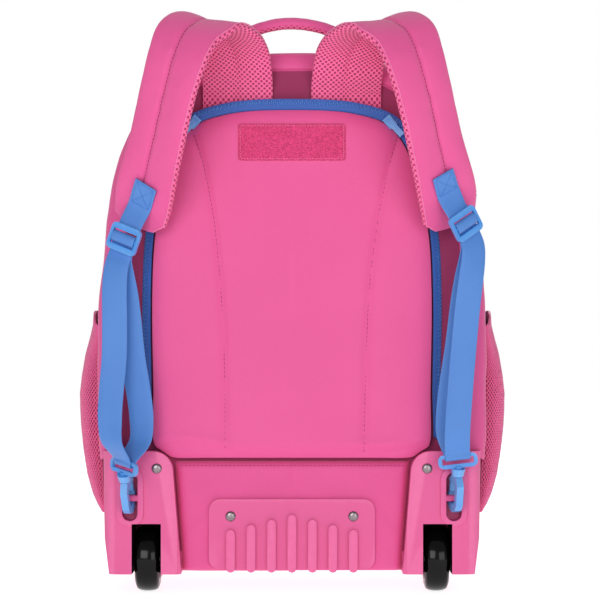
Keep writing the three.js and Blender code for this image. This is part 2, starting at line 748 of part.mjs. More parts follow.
function makeHousing() {
  const face = -housingStandOff;
  const wheelFront = wheelSetback + wheelRadius + wellClearance;
  const wellRadius = wheelRadius + wellClearance;
  const x0 = wheelSpread - wellWidth / 2;
  const x1 = wheelSpread + wellWidth / 2;
  const slot0 = hookSlotSpread - hookSlotWidth / 2;
  const slot1 = hookSlotSpread + hookSlotWidth / 2;
  const rim = plateXZ(roundedShape(slot0 - slotRim, slot1 + slotRim, hookSlotFoot - slotRim, hookSlotTop + slotRim,
    hookSlotWidth / 2 + slotRim - 0.5), face - slotRimRise, face + 1, 4);
  const slot = plateXZ(roundedShape(slot0, slot1, hookSlotFoot, hookSlotTop, hookSlotWidth / 2 - 0.2),
    face - slotRimRise - 1, face + hookSlotDepth, 4);
  const well = joined(
    barX(wellRadius, x0, x1, wheelSetback, wheelRadius, 20),
    box(x0, x1, face - slotRimRise - 1, wheelSetback, -1, wheelRadius + wellRadius),
    box(x0, x1, wheelSetback - 1, wheelFront, -1, wheelRadius),
  );
  const bar = barX(barRadius, slot0 - 1.5, slot1 + 1.5, face + barInset, barHeight, 8);
  const pin = barX(axleRadius + seatGap, wheelSpread - axleLength / 2 - seatGap,
    wheelSpread + axleLength / 2 + seatGap, wheelSetback, wheelRadius, 10);
  return cut(cut(joined(housingBlock(0, false), rim), slot).add(bar), well, pin);
}

function makeTyre() {
  const half = wheelWidth / 2;
  // radius: share between rim and tread, side: share of half the width
  const rows = [[0, -0.8], [0.6, -1], [0.89, -0.76], [1, -0.3], [1, 0.3], [0.89, 0.76], [0.6, 1], [0, 0.8], [0, -0.8]];
  const profile = rows.map(([share, side]) => {
    return new THREE.Vector2(rimRadius + share * (wheelRadius - rimRadius), side * half);
  });
  return solid(new THREE.LatheGeometry(profile, 24).rotateZ(Math.PI / 2));
}

function makeHub() {
  const half = wheelWidth / 2 - hubSpare;
  const bore = axleRadius + turnGap;
  const rim = rimRadius - seatGap;
  // r: radius, side: share of half the width
  const rows = [[bore, -1], [bore + 4.5, -1], [rim, -0.72], [rim, 0.72], [bore + 4.5, 1], [bore, 1], [bore, -1]];
  const profile = rows.map(([r, side]) => new THREE.Vector2(r, side * half));
  return solid(new THREE.LatheGeometry(profile, 20).rotateZ(Math.PI / 2));
}

for (const { name, sign } of sides) {
  addPiece(`kick_plate_rivet_${name}`,
    makeRivet().translate([kickRivetSpread, -coverThick - kickThick - 2 * seatGap, kickRivetHeight]), 'steel', sign);
  addPiece(`wheel_housing_${name}`, makeHousing(), 'plastic', sign);
  addPiece(`housing_rivet_${name}`,
    makeRivet().translate([housingRivetSpread, -housingStandOff - seatGap, housingRivetHeight]), 'steel', sign);
  const half = axleLength / 2;
  addPiece(`axle_${name}`,
    barX(axleRadius, wheelSpread - half, wheelSpread + half, wheelSetback, wheelRadius, 12), 'steel', sign);
  addPiece(`tyre_${name}`, makeTyre().translate([wheelSpread, wheelSetback, wheelRadius]), 'tyre', sign);
  addPiece(`hub_${name}`, makeHub().translate([wheelSpread, wheelSetback, wheelRadius]), 'hub', sign);
  const foot = roundedShape(footSpread - footWidth / 2, footSpread + footWidth / 2, footSetback - footLength / 2,
    footSetback + footLength / 2, footCorner);
  addPiece(`foot_${name}`, plateXY(foot, 0, groundClearance - seatGap, 3), 'plastic', sign);
}

// Bands swept along a route

// Position, direction across and direction outwards at a place between 0 and 1 of a route's stations
function frameAt(stations, place, endless) {
  const curve = new THREE.CatmullRomCurve3(stations.map((s) => s.at), endless, 'centripetal');
  const at = curve.getPoint(place);
  const along = curve.getTangent(place);
  const steps = (endless ? stations.length : stations.length - 1) * place;
  const here = Math.min(Math.floor(steps), stations.length - 1);
  const there = endless ? (here + 1) % stations.length : Math.min(here + 1, stations.length - 1);
  const part = steps - here;
  const mixed = (key) => THREE.MathUtils.lerp(stations[here][key], stations[there][key], part);
  const across = stations[here].across.clone().lerp(stations[there].across, part);
  across.addScaledVector(along, -across.dot(along)).normalize();
  const outwards = along.clone().cross(across).normalize();
  return { at, along, across, outwards, wide: mixed('wide'), thick: mixed('thick') };
}

// Sweeps a section along a route. A section's columns are shares of half the width and half the thickness.
function sweep(stations, section, count, endless = false) {
  const steps = endless ? count : count - 1;
  const rings = [];
  for (let i = 0; i < count; i += 1) {
    const f = frameAt(stations, i / steps, endless);
    rings.push(section.map(([side, face]) => f.at.clone()
      .addScaledVector(f.across, side * f.wide / 2)
      .addScaledVector(f.outwards, face * f.thick / 2)));
  }
  return loft(rings, endless);
}

const flatSection = [[-1, -1], [1, -1], [1, 1], [-1, 1]];
// Two padded channels with a seam between them
const strapSection = [
  [-1, 0], [-0.93, 0.7], [-0.55, 1], [-0.12, 0.8], [0, 0.62], [0.12, 0.8], [0.55, 1], [0.93, 0.7],
  [1, 0], [0.93, -0.7], [0.5, -1], [0, -0.8], [-0.5, -1], [-0.93, -0.7],
];

// Route of a strap. out: share of the shoulder half width, back: share of the reach towards the wearer,
// up: share of the ridge's height, wide and thick: shares of the strap's own, turn: degrees that the
// outer edge is turned away from the wearer, drop: degrees that the outer edge is raised, free: share
// of the hang on that side
const strapRoute = [
  { out: 0.28, back: 0.036, up: 0.812, wide: 1, thick: 0.42, turn: 0, drop: 0, free: 0 },
  { out: 0.28, back: 0.055, up: 0.862, wide: 1, thick: 0.42, turn: 0, drop: 0, free: 0 },
  { out: 0.28, back: 0.07, up: 0.882, wide: 1, thick: 0.46, turn: 0, drop: 0, free: 0 },
  { out: 0.283, back: 0.17, up: 0.91, wide: 1, thick: 0.8, turn: 2, drop: 2, free: 0.1 },
  { out: 0.297, back: 0.3, up: 0.944, wide: 1, thick: 1, turn: 6, drop: 6, free: 0.2 },
  { out: 0.33, back: 0.47, up: 0.968, wide: 1, thick: 1, turn: 10, drop: 11, free: 0.4 },
  { out: 0.42, back: 0.69, up: 0.985, wide: 1, thick: 1, turn: 14, drop: 14, free: 0.7 },
  { out: 0.51, back: 0.88, up: 0.969, wide: 0.98, thick: 1, turn: 22, drop: 14, free: 1 },
  { out: 0.562, back: 0.98, up: 0.931, wide: 0.95, thick: 1, turn: 28, drop: 13, free: 1 },
  { out: 0.605, back: 0.97, up: 0.883, wide: 0.93, thick: 1, turn: 32, drop: 12, free: 1 },
  { out: 0.645, back: 0.88, up: 0.83, wide: 0.92, thick: 1, turn: 34, drop: 11, free: 1 },
  { out: 0.682, back: 0.76, up: 0.779, wide: 0.91, thick: 1, turn: 33, drop: 11, free: 1 },
  { out: 0.727, back: 0.6, up: 0.724, wide: 0.91, thick: 1, turn: 28, drop: 12, free: 1 },
  { out: 0.756, back: 0.43, up: 0.686, wide: 0.9, thick: 0.9, turn: 24, drop: 13, free: 1 },
  { out: 0.775, back: 0.32, up: 0.656, wide: 0.82, thick: 0.7, turn: 22, drop: 13, free: 0.7 },
  { out: 0.785, back: 0.28, up: 0.64, wide: 0.5, thick: 0.5, turn: 22, drop: 14, free: 0.6 },
];

function turnedAcross(turn, rise) {
  const flat = Math.cos(radians(rise));
  return vector(Math.cos(radians(turn)) * flat, Math.sin(radians(turn)) * flat, Math.sin(radians(rise)));
}

function strapStations(hang) {
  return strapRoute.map((row) => ({
    at: vector(row.out * strapLine + hang * row.free, -row.back * strapReach, row.up * strapRise),
    across: turnedAcross(row.turn, row.drop),
    wide: row.wide * strapWidth,
    thick: row.thick * strapThick,
  }));
}

// Adjuster: a frame with a bar across its window. Its own axes are across, towards the bag and up.
const adjusterWindow = adjusterHeight - 2 * adjusterFrame;

function makeAdjuster() {
  const half = adjusterWidth / 2;
  const tall = adjusterHeight / 2;
  const deep = adjusterThick / 2;
  const side = webbingWidth / 2 + 0.6;
  const frame = plateXZ(roundedShape(-half, half, -tall, tall, adjusterCorner), -deep, deep, 3);
  const window = box(-side, side, -deep - 1, deep + 1, -adjusterWindow / 2, adjusterWindow / 2);
  const bar = box(-side - 1, side + 1, -deep, deep, -adjusterBar / 2, adjusterBar / 2);
  return frame.subtract(window).add(bar);
}

function adjusterMatrix({ out, back, up, lean, turn }) {
  return new THREE.Matrix4().makeTranslation(out, -back, up)
    .multiply(new THREE.Matrix4().makeRotationZ(radians(turn)))
    .multiply(new THREE.Matrix4().makeRotationY(radians(-lean)));
}

const moved = (shape, matrix) => shape.transform(matrix.toArray());

// Hook: a flat outline in its own (towards the bag, up) axes round the housing's bar, which is at (0, 0)

// across: share of the hook's width, up: share of its height
const hookOutline = [
  [-0.39, 0.68], [-0.62, 0.47], [-0.65, -0.06], [-0.54, -0.22], [-0.28, -0.33], [0.07, -0.31],
  [0.3, -0.2], [0.36, -0.06], [0.35, 0.12], [0.185, 0.12], [0.18, -0.03], [0.09, -0.1], [-0.06, -0.115],
  [-0.24, -0.1], [-0.4, -0.01], [-0.43, 0.39], [-0.28, 0.46], [0.35, 0.46], [0.35, 0.5], [0.09, 0.65],
  [-0.03, 0.68],
];
const gatePlace = { across: 0.268, foot: 0.137 };
const collarPlace = { across: -0.21, up: 0.69 };

function makeHook() {
  const shape = new THREE.Shape(hookOutline.map(([a, u]) => new THREE.Vector2(a * hookWidth, u * hookHeight)));
  const geometry = new THREE.ExtrudeGeometry(shape, { depth: hookThick, bevelEnabled: false });
  geometry.translate(0, 0, -hookThick / 2);
  geometry.applyMatrix4(new THREE.Matrix4().makeBasis(vector(0, 1, 0), vector(0, 0, 1), vector(1, 0, 0)));
  return solid(geometry);
}

function makeGate() {
  const y = gatePlace.across * hookWidth;
  const foot = gatePlace.foot * hookHeight;
  const half = gateWidth / 2;
  const shape = new THREE.Shape();
  shape.moveTo(y - half, foot);
  shape.lineTo(y + half, foot);
  shape.lineTo(y + half, foot + gateLength - half);
  shape.absarc(y, foot + gateLength - half, half, 0, Math.PI);
  shape.lineTo(y - half, foot);
  const geometry = new THREE.ExtrudeGeometry(shape, { depth: gateThick, bevelEnabled: false, curveSegments: 4 });
  geometry.translate(0, 0, -gateThick / 2);
  geometry.applyMatrix4(new THREE.Matrix4().makeBasis(vector(0, 1, 0), vector(0, 0, 1), vector(1, 0, 0)));
  return solid(geometry);
}

function hookMatrix({ turn, pitch }) {
  return new THREE.Matrix4().makeTranslation(hookSlotSpread, -housingStandOff + barInset, barHeight)
    .multiply(new THREE.Matrix4().makeRotationZ(radians(turn)))
    .multiply(new THREE.Matrix4().makeRotationX(radians(pitch)));
}

// The eye's own origin is the middle of its lower bar, just above the collar
const eyeLift = collarHeight + eyeBar * 0.6;

function eyeMatrix(hook) {
  const middle = vector(0, collarPlace.across * hookWidth, collarPlace.up * hookHeight + seatGap + eyeLift);
  middle.applyMatrix4(hookMatrix(hook));
  return new THREE.Matrix4().makeTranslation(middle.x, middle.y, middle.z)
    .multiply(new THREE.Matrix4().makeRotationZ(radians(hook.eyeTurn)))
    .multiply(new THREE.Matrix4().makeRotationY(radians(-hook.eyeRoll)));
}

function makeEye(hook) {
  const half = eyeWidth / 2;
  const deep = eyeThick / 2;
  const hole = half - eyeBar;
  const foot = -eyeBar / 2;
  const top = foot + 2 * eyeBar + eyeHole;
  const ring = plateXZ(roundedShape(-half, half, foot, top, eyeBar * 1.5), -deep, deep, 3)
    .subtract(box(-hole, hole, -deep - 1, deep + 1, foot + eyeBar, foot + eyeBar + eyeHole));
  const collar = new THREE.CylinderGeometry(collarRadius, collarRadius * 0.8, collarHeight, 14);
  collar.rotateX(Math.PI / 2);
  collar.translate(0, collarPlace.across * hookWidth, collarPlace.up * hookHeight + seatGap + collarHeight / 2);
  const neck = new THREE.CylinderGeometry(eyeThick, eyeThick * 1.2, eyeLift * 0.5, 8);
  neck.rotateX(Math.PI / 2);
  neck.translate(0, collarPlace.across * hookWidth, collarPlace.up * hookHeight + seatGap + eyeLift * 0.78);
  const lower = moved(solid(collar).add(solid(neck)), hookMatrix(hook));
  return moved(ring, eyeMatrix(hook)).add(lower);
}

// Webbing

const halfWeb = webbingThick / 2;
const bendShare = 0.1; // share of a run over which it bends away from the adjuster's direction
const wrapGap = seatGap + 0.15;
const webStation = (at, across) => ({ at, across, wide: webbingWidth, thick: webbingThick });

// Stations round a bar, in the bar's own (towards the bag, up) axes
function wrapStations(matrix, rows) {
  const across = vector(1, 0, 0).transformDirection(matrix);
  return rows.map(([y, z]) => webStation(vector(0, y, z).applyMatrix4(matrix), across.clone()));
}

// Free run of the loop between adjuster and eye. down: share of the way down, bow: share of the spread,
// part: share of how far the two runs stand apart, upper and lower: shares of the adjuster's and the
// eye's turn
const loopRun = [
  { down: 0.05, bow: 0.1, part: 0.3, upper: 0.85, lower: 0 },
  { down: 0.11, bow: 0.22, part: 0.5, upper: 0.65, lower: 0 },
  { down: 0.19, bow: 0.34, part: 0.66, upper: 0.4, lower: 0.02 },
  { down: 0.3, bow: 0.42, part: 0.7, upper: 0.2, lower: 0.05 },
  { down: 0.5, bow: 0.56, part: 0.75, upper: 0.1, lower: 0.1 },
  { down: 0.66, bow: 0.84, part: 0.9, upper: 0.05, lower: 0.2 },
  { down: 0.8, bow: 1, part: 1, upper: 0, lower: 0.35 },
  { down: 0.91, bow: 0.86, part: 0.86, upper: 0, lower: 0.65 },
];

function makeLoop(side) {
  const upper = adjusterMatrix(side.adjuster);
  const lower = eyeMatrix(side.hook);
  const reach = adjusterThick / 2 + wrapGap + halfWeb;
  const bar = adjusterBar / 2;
  const frame = adjusterWindow / 2;
  const tall = adjusterHeight / 2;
  const layer = reach + webbingThick + wrapGap;
  // Round the adjuster's bar, from the rear run over the bar to the front run
  const overBar = wrapStations(upper, [
    [layer + 0.4, -tall - 3], [layer, -frame], [layer - 0.4, 0], [reach, bar + 2],
    [0, bar + 3.1], [-reach * 0.86, bar + 1.5], [-reach - 0.1, 0], [-reach * 0.8, -bar - 1.4],
    [0, -bar - 2.8], [reach * 0.78, -frame + 1], [reach + 0.1, -frame - 2.6], [reach + 0.2, -tall - 3],
  ]);
  const eyeTop = eyeBar / 2 + eyeHole + eyeBar / 2;
  const clear = eyeThick / 2 + halfWeb + 0.9;
  // Round the eye's upper bar, from the front run under the bar to the rear run
  const underBar = wrapStations(lower, [
    [-clear, eyeTop + 2], [-clear, eyeTop - 1.2], [-clear * 0.76, eyeTop - 3.2], [0, eyeTop - 3.7],
    [clear * 0.76, eyeTop - 3.2], [clear, eyeTop - 1.2], [clear, eyeTop + 2],
  ]);
  const turned = (row) => turnedAcross(row.upper * side.adjuster.turn + row.lower * side.hook.eyeTurn,
    row.upper * side.adjuster.lean + row.lower * side.hook.eyeRoll);
  const leaving = vector(0, 0, -1).transformDirection(upper);
  const run = (from, to, spread, out, rows) => rows.map((row) => {
    const chord = to.clone().sub(from);
    const bend = leaving.clone().sub(chord.clone().normalize()).multiplyScalar(chord.length());
    const at = from.clone().addScaledVector(chord, row.down);
    at.addScaledVector(bend, row.down * Math.exp(-row.down / bendShare));
    at.x += spread * row.bow;
    at.y += out * row.part;
    return webStation(at, turned(row));
  });
  const front = run(overBar[overBar.length - 1].at, underBar[0].at, side.loop.frontSpread,
    -side.loop.frontOut, loopRun);
  const rear = run(overBar[0].at, underBar[underBar.length - 1].at, -side.loop.rearSpread,
    side.loop.rearIn, loopRun).reverse();
  const stations = [...overBar, ...front, ...underBar, ...rear];
  return sweep(stations, flatSection, stations.length, true);
}

// Tab from the strap's face to the adjuster: it lies on the strap and ends behind the adjuster's top bar
function makeTab(side) {
  const strap = strapStations(side.hang);
  const lift = seatGap + 0.3 + halfWeb;
  const onStrap = side.tab.seats.map(([place, shift]) => {
    const f = frameAt(strap, place, false);
    const at = f.at.clone().addScaledVector(f.outwards, f.thick / 2 + lift).addScaledVector(f.across, shift);
    return webStation(at, f.across.clone().applyAxisAngle(f.outwards, radians(side.tab.twist)));
  });
  const reach = adjusterThick / 2 + wrapGap + halfWeb;
  const behind = wrapStations(adjusterMatrix(side.adjuster), [
    [reach + 1.2, adjusterHeight / 2 + 5], [reach + 0.2, adjusterHeight / 2 - 1],
    [reach, adjusterWindow / 2 + 0.5],
  ]);
  return sweep([...onStrap, ...behind], flatSection, 16);
}

for (const side of sides) {
  const { name, sign } = side;
  addPiece(`shoulder_strap_${name}`, sweep(strapStations(side.hang), strapSection, 23), 'cloth', sign);
  addPiece(`webbing_tab_${name}`, makeTab(side), 'webbing', sign);
  addPiece(`adjuster_${name}`, moved(makeAdjuster(), adjusterMatrix(side.adjuster)), 'buckle', sign);
  addPiece(`webbing_loop_${name}`, makeLoop(side), 'webbing', sign);
  addPiece(`hook_eye_${name}`, makeEye(side.hook), 'buckle', sign);
  addPiece(`snap_hook_${name}`, moved(makeHook(), hookMatrix(side.hook)), 'buckle', sign);
  addPiece(`hook_gate_${name}`, moved(makeGate(), hookMatrix(side.hook)), 'buckle', sign);
}

// Side pockets

// up: share of the pocket's height, bulge: share of its bulge, dip: share of the hem's dip
const sidePocketRows = [
  [0, 0.1, 0], [0.03, 0.33, 0], [0.08, 0.54, 0], [0.17, 0.75, 0], [0.3, 0.9, 0], [0.45, 0.98, 0],
  [0.58, 1, 0.05], [0.68, 0.9, 0.2], [0.78, 0.74, 0.5], [0.87, 0.54, 0.8], [0.95, 0.38, 1], [1, 0.36, 1],
];
const pocketArc = 10;

// Wall that bows out from the body's side between two shares of the pocket's height
function pocketWall(from, to, thick, extra) {
  const bulges = sidePocketRows.map(([up, bulge]) => [up, bulge]);
  const dips = sidePocketRows.map(([up, , dip]) => [up, dip]);
  const inner = sidePocketRows.map(([up]) => up).filter((up) => up > from + 0.01 && up < to - 0.01);
  const places = [from, ...inner, to];
  const middle = sidePocketRear + sidePocketSpan / 2;
  const wall = (offset) => places.map((up) => {
    const z = sidePocketFoot + up * sidePocketHeight;
    const bulge = tableValue(bulges, up) * sidePocketBulge + sideSwell + extra;
    const dip = tableValue(dips, up) * hemDip;
    const foot = bodyHalfAt(sidePocketRear, z - dip) + 2 * seatGap;
    const half = sidePocketSpan / 2 - offset;
    const row = [];
    for (let i = 0; i <= pocketArc; i += 1) {
      const angle = Math.PI * i / pocketArc;
      const out = Math.max(bulge - offset, sideSwell) * Math.sin(angle) ** 0.75;
      row.push(vector(foot + out, middle - half * Math.cos(angle), z - dip * Math.cos(angle) ** 2));
    }
    return row;
  });
  return thickSheet(wall(0), wall(thick));
}

const hemShare = hemHeight / sidePocketHeight;
for (const { name, sign } of sides) {
  addPiece(`side_pocket_${name}`, pocketWall(0, 1 - hemShare - 2 * seatGap / sidePocketHeight, sidePocketWall, 0),
    'net', sign);
  addPiece(`pocket_hem_${name}`, pocketWall(1 - hemShare, 1, hemThick, 0.8), 'net', sign);
}

// Grab handle

// One half of the handle, from its foot to its top. out: share of half the span, up: share of the rise,
// back: share of how far its feet lie behind the rear face, deep and thick: shares of its thickness
const grabRoute = [
  { out: 1, up: 0, back: 1, deep: 0.4, thick: 1.1 },
  { out: 1, up: 0.25, back: 0.9, deep: 0.45, thick: 1.1 },
  { out: 0.99, up: 0.5, back: 0.25, deep: 0.85, thick: 1.05 },
  { out: 0.92, up: 0.72, back: 0, deep: 1, thick: 1 },
  { out: 0.74, up: 0.88, back: 0, deep: 1, thick: 1 },
  { out: 0.45, up: 0.97, back: 0, deep: 1, thick: 1 },
  { out: 0.15, up: 1, back: 0, deep: 1, thick: 1 },
];

function makeGrab() {
  const station = (row, side) => ({
    at: vector(side * row.out * grabSpan / 2, -row.back * grabSetback, grabFoot + row.up * grabRise),
    across: vector(0, 1, 0),
    wide: row.deep * grabThick,
    thick: row.thick * grabThick,
  });
  const stations = [
    ...grabRoute.map((row) => station(row, -1)),
    ...grabRoute.map((row) => station(row, 1)).reverse(),
  ];
  const section = [];
  for (let i = 0; i < 8; i += 1) {
    const angle = Math.PI * 2 * (i + 0.5) / 8;
    section.push([Math.cos(angle), Math.sin(angle)]);
  }
  return sweep(stations, section, 21);
}

addPiece('grab_handle', makeGrab(), 'cloth');

// Pull handle

function tubePair(wide, deep, wall, foot, top) {
  const y = rearWall + sleeveDepth / 2;
  return mirroredPair(() => {
    const outer = box(tubeSpread - wide / 2, tubeSpread + wide / 2, y - deep / 2, y + deep / 2, foot, top);
    const inner = box(tubeSpread - wide / 2 + wall, tubeSpread + wide / 2 - wall, y - deep / 2 + wall,
      y + deep / 2 - wall, foot - 1, top + 1);
    return outer.subtract(inner);
  });
}

function makeTrolleyFrame() {
  const y = rearWall + sleeveDepth / 2;
  const foot = sleeveFloor + seatGap;
  const tubes = tubePair(tubeWide, tubeDeep, tubeWall, foot + crossbarHeight - 1, frameTop);
  const half = tubeSpread + tubeWide / 2 + bracketRim;
  const deep = tubeDeep / 2 + bracketRim;
  const hollow = mirroredPair(() => box(tubeSpread - tubeWide / 2 + tubeWall, tubeSpread + tubeWide / 2 - tubeWall,
    y - tubeDeep / 2 + tubeWall, y + tubeDeep / 2 - tubeWall, foot + crossbarHeight, frameTop + 10));
  const lower = box(-half, half, y - deep, y + deep, foot, foot + crossbarHeight);
  const upper = box(-half, half, y - deep, y + deep, frameTop - crossbarHeight, frameTop);
  return cut(joined(tubes, lower, upper), hollow);
}

const gripTop = groundClearance + bodyHeight - 1;
const innerWide = tubeWide - 2 * tubeWall - 2 * slideGap;
const innerDeep = tubeDeep - 2 * tubeWall - 2 * slideGap;

// The two inner tubes, joined under the grip by a yoke
function makeTrolleyTubes() {
  const y = rearWall + sleeveDepth / 2;
  const top = gripTop - gripHeight - seatGap;
  const tubes = tubePair(innerWide, innerDeep, tubeWall, innerTubeFoot, top);
  const half = tubeSpread + innerWide / 2;
  return tubes.add(box(-half, half, y - innerDeep / 2, y + innerDeep / 2, top - yokeHeight, top));
}

function makeGrip() {
  const y = rearWall + sleeveDepth / 2;
  const half = gripWidth / 2;
  const shape = roundedShape(-half, half, gripTop - gripHeight, gripTop, gripRound);
  return plateXZ(shape, y - gripDepth / 2, y + gripDepth / 2, 3);
}

addPiece('trolley_frame', makeTrolleyFrame(), 'tube');
addPiece('trolley_tubes', makeTrolleyTubes(), 'tube');
addPiece('trolley_grip', makeGrip(), 'plastic');

// The origin is on the floor, under the middle of the whole object
const bounds = new THREE.Box3().setFromObject(backpack);
const middle = bounds.getCenter(vector(0, 0, 0));
backpack.position.set(-middle.x, -middle.y, -bounds.min.z);
backpack.updateMatrixWorld(true);

export default backpack;
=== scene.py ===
# %% [markdown]
# # A pink wheeled backpack, dressed round its CAD frame
#
# Hard plastic keeps its solid and gets rounded edges and a better finish. Cloth, webbing, net and
# zips are made again with finer meshes, because a plain solid has no seams, channels or folds.

# %% Load the frame
import math

import bpy
import numpy as np
from mathutils import Matrix, Vector, noise


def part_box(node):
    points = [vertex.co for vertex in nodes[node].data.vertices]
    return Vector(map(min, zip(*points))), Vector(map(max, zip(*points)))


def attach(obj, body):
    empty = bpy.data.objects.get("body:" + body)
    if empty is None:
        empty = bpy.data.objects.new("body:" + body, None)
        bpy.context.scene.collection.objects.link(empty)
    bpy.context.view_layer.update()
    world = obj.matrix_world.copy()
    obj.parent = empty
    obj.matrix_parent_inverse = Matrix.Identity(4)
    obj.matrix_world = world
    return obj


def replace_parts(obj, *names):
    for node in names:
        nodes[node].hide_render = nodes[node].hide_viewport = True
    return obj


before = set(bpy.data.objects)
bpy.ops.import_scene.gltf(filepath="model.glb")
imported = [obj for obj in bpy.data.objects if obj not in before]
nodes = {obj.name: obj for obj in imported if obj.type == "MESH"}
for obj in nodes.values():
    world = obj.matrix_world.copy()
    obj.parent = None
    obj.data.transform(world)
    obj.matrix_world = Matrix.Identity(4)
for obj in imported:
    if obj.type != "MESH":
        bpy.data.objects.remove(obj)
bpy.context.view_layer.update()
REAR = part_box("bag_shell")[0].y  # plane of the bag's rear wall
print("nodes", len(nodes), "rear wall at", round(REAR, 4))

# %% [markdown]
# ## Sizes
#
# The sewing sizes below are millimetres, as a maker would write them. `place` turns one into a point
# in the frame: x to the right, y from the rear wall towards the front pocket, z up from the floor.

# %% Sizes of the bag
MM = 0.001
BODY_WIDTH, BODY_DEPTH, BODY_HEIGHT, BODY_FOOT = 386, 200, 518, 22
EDGE_ROUND = 18
FLAP_WIDTH, FLAP_HEIGHT, FLAP_FOOT = 278, 346, 135
STOWAGE_GAP = 8
STRAP_WIDTH, STRAP_THICK, STRAP_REACH, STRAP_LINE, STRAP_RISE = 70, 12, 90, 193, 569


def place(x, y, z):
    return Vector((x * MM, REAR + y * MM, z * MM))


print("middle of the body", [round(v, 4) for v in place(0, BODY_DEPTH / 2, BODY_FOOT + BODY_HEIGHT / 2)])


# %% [markdown]
# ## Camera, light and floor
#
# The photograph looks straight at the back panel from knee height, with hardly any perspective, so a
# long lens stands 2.4 m away. The light is a white tent: broad soft sources in front, a weak one above,
# one behind for the other views, and a table of milk glass that glows a little, so nothing casts a
# hard shadow.

# %% Camera
CAMERA_ASIDE, CAMERA_AWAY, CAMERA_HEIGHT = 0.008, 2.4, 0.292  # metres from the middle of the rear wall's foot
camera_data = bpy.data.cameras.new("camera")
camera_data.sensor_width = 36
camera_data.lens = 144
camera = bpy.data.objects.new("camera", camera_data)
camera.location = (CAMERA_ASIDE, REAR - CAMERA_AWAY, CAMERA_HEIGHT)
camera.rotation_euler = (math.radians(90), 0, 0)
bpy.context.scene.collection.objects.link(camera)
bpy.context.scene.camera = camera
bpy.context.scene.view_settings.view_transform = "Standard"
print("camera at", tuple(round(v, 3) for v in camera.location))

# %% Lights
BAG_MIDDLE = Vector((0, 0, 0.28))
LIGHTS = {  # place, width and height in metres, and power in watts
    "key_light": ((-0.75, -2.7, 0.9), (1.3, 1.3), 25),
    "fill_light": ((1.1, -2.5, 0.6), (1.2, 1.2), 13),
    "top_light": ((0, 0.5, 2.2), (1.4, 1.4), 6),
    "back_light": ((0.5, 2.4, 1.0), (1.4, 1.2), 24),
}
for name, (location, size, power) in LIGHTS.items():
    data = bpy.data.lights.new(name, "AREA")
    data.shape = "RECTANGLE"
    data.size, data.size_y = size
    data.energy = power
    light = bpy.data.objects.new(name, data)
    light.location = location
    light.rotation_euler = (BAG_MIDDLE - light.location).to_track_quat("-Z", "Y").to_euler()
    bpy.context.scene.collection.objects.link(light)
print("lights", len(LIGHTS))

# %% World and floor
TENT_GLOW, TENT_SEEN = 0.31, 1.0  # the white world as a light, and as the camera sees it
world = bpy.data.worlds.new("white tent")
bpy.context.scene.world = world
world.use_nodes = True
tent = world.node_tree
tent.nodes["Background"].inputs["Color"].default_value = (1, 1, 1, 1)
ray = tent.nodes.new("ShaderNodeLightPath")
strength = tent.nodes.new("ShaderNodeMapRange")
strength.inputs["To Min"].default_value = TENT_GLOW
strength.inputs["To Max"].default_value = TENT_SEEN
tent.links.new(ray.outputs["Is Camera Ray"], strength.inputs["Value"])
tent.links.new(strength.outputs[0], tent.nodes["Background"].inputs["Strength"])

FLOOR_SIZE = 12
bpy.ops.mesh.primitive_plane_add(size=FLOOR_SIZE, location=(0, 0, 0))
floor = bpy.context.object
floor.name = "floor"
print("floor", FLOOR_SIZE, "m")

# %% [markdown]
# ## Node groups that several finishes share
#
# Cloth needs threads, plastic needs grain, and everything that is dyed or moulded is a little uneven.
# Each effect is one node group with named inputs, so a material only says how large and how strong it
# is. A group gives out masks, values and heights, and the shader stays in the material.

# %% A small helper that wires nodes


class Wiring:
    """Adds nodes to a tree and links them in one call each."""

    def __init__(self, tree):
        self.tree = tree

    def node(self, kind, settings=None, **inputs):
        made = self.tree.nodes.new(kind)
        for key, value in (settings or {}).items():
            setattr(made, key, value)
        for key, value in inputs.items():
            self.feed(made.inputs[key.replace("_", " ")], value)
        return made

    def feed(self, socket, value):
        if isinstance(value, bpy.types.NodeSocket):
            self.tree.links.new(value, socket)
        else:
            socket.default_value = value

    def math(self, operation, *values, clamp=False):
        made = self.tree.nodes.new("ShaderNodeMath")
        made.operation = operation
        made.use_clamp = clamp
        for socket, value in zip(made.inputs, values):
            self.feed(socket, value)
        return made.outputs[0]

    def blend(self, first, share, second, other_share, clamp=False):
        """The sum of two values, each times its share."""
        shares = [self.math("MULTIPLY", *pair) for pair in ((first, share), (second, other_share))]
        return self.math("ADD", *shares, clamp=clamp)


def new_group(name, inputs, outputs):
    """A shader node group with inputs (name, kind, default), and outputs that are numbers."""
    tree = bpy.data.node_groups.new(name, "ShaderNodeTree")
    for label, kind, default in inputs:
        socket = tree.interface.new_socket(label, in_out="INPUT", socket_type=kind)
        if default is not None:
            socket.default_value = default
    for label in outputs:
        tree.interface.new_socket(label, in_out="OUTPUT", socket_type="NodeSocketFloat")
    wiring = Wiring(tree)
    entry = tree.nodes.new("NodeGroupInput")
    leave = tree.nodes.new("NodeGroupOutput")
    return tree, wiring, entry.outputs, leave.inputs


VECTOR, NUMBER = "NodeSocketVector", "NodeSocketFloat"
print("sockets of a group are", VECTOR, "or", NUMBER)

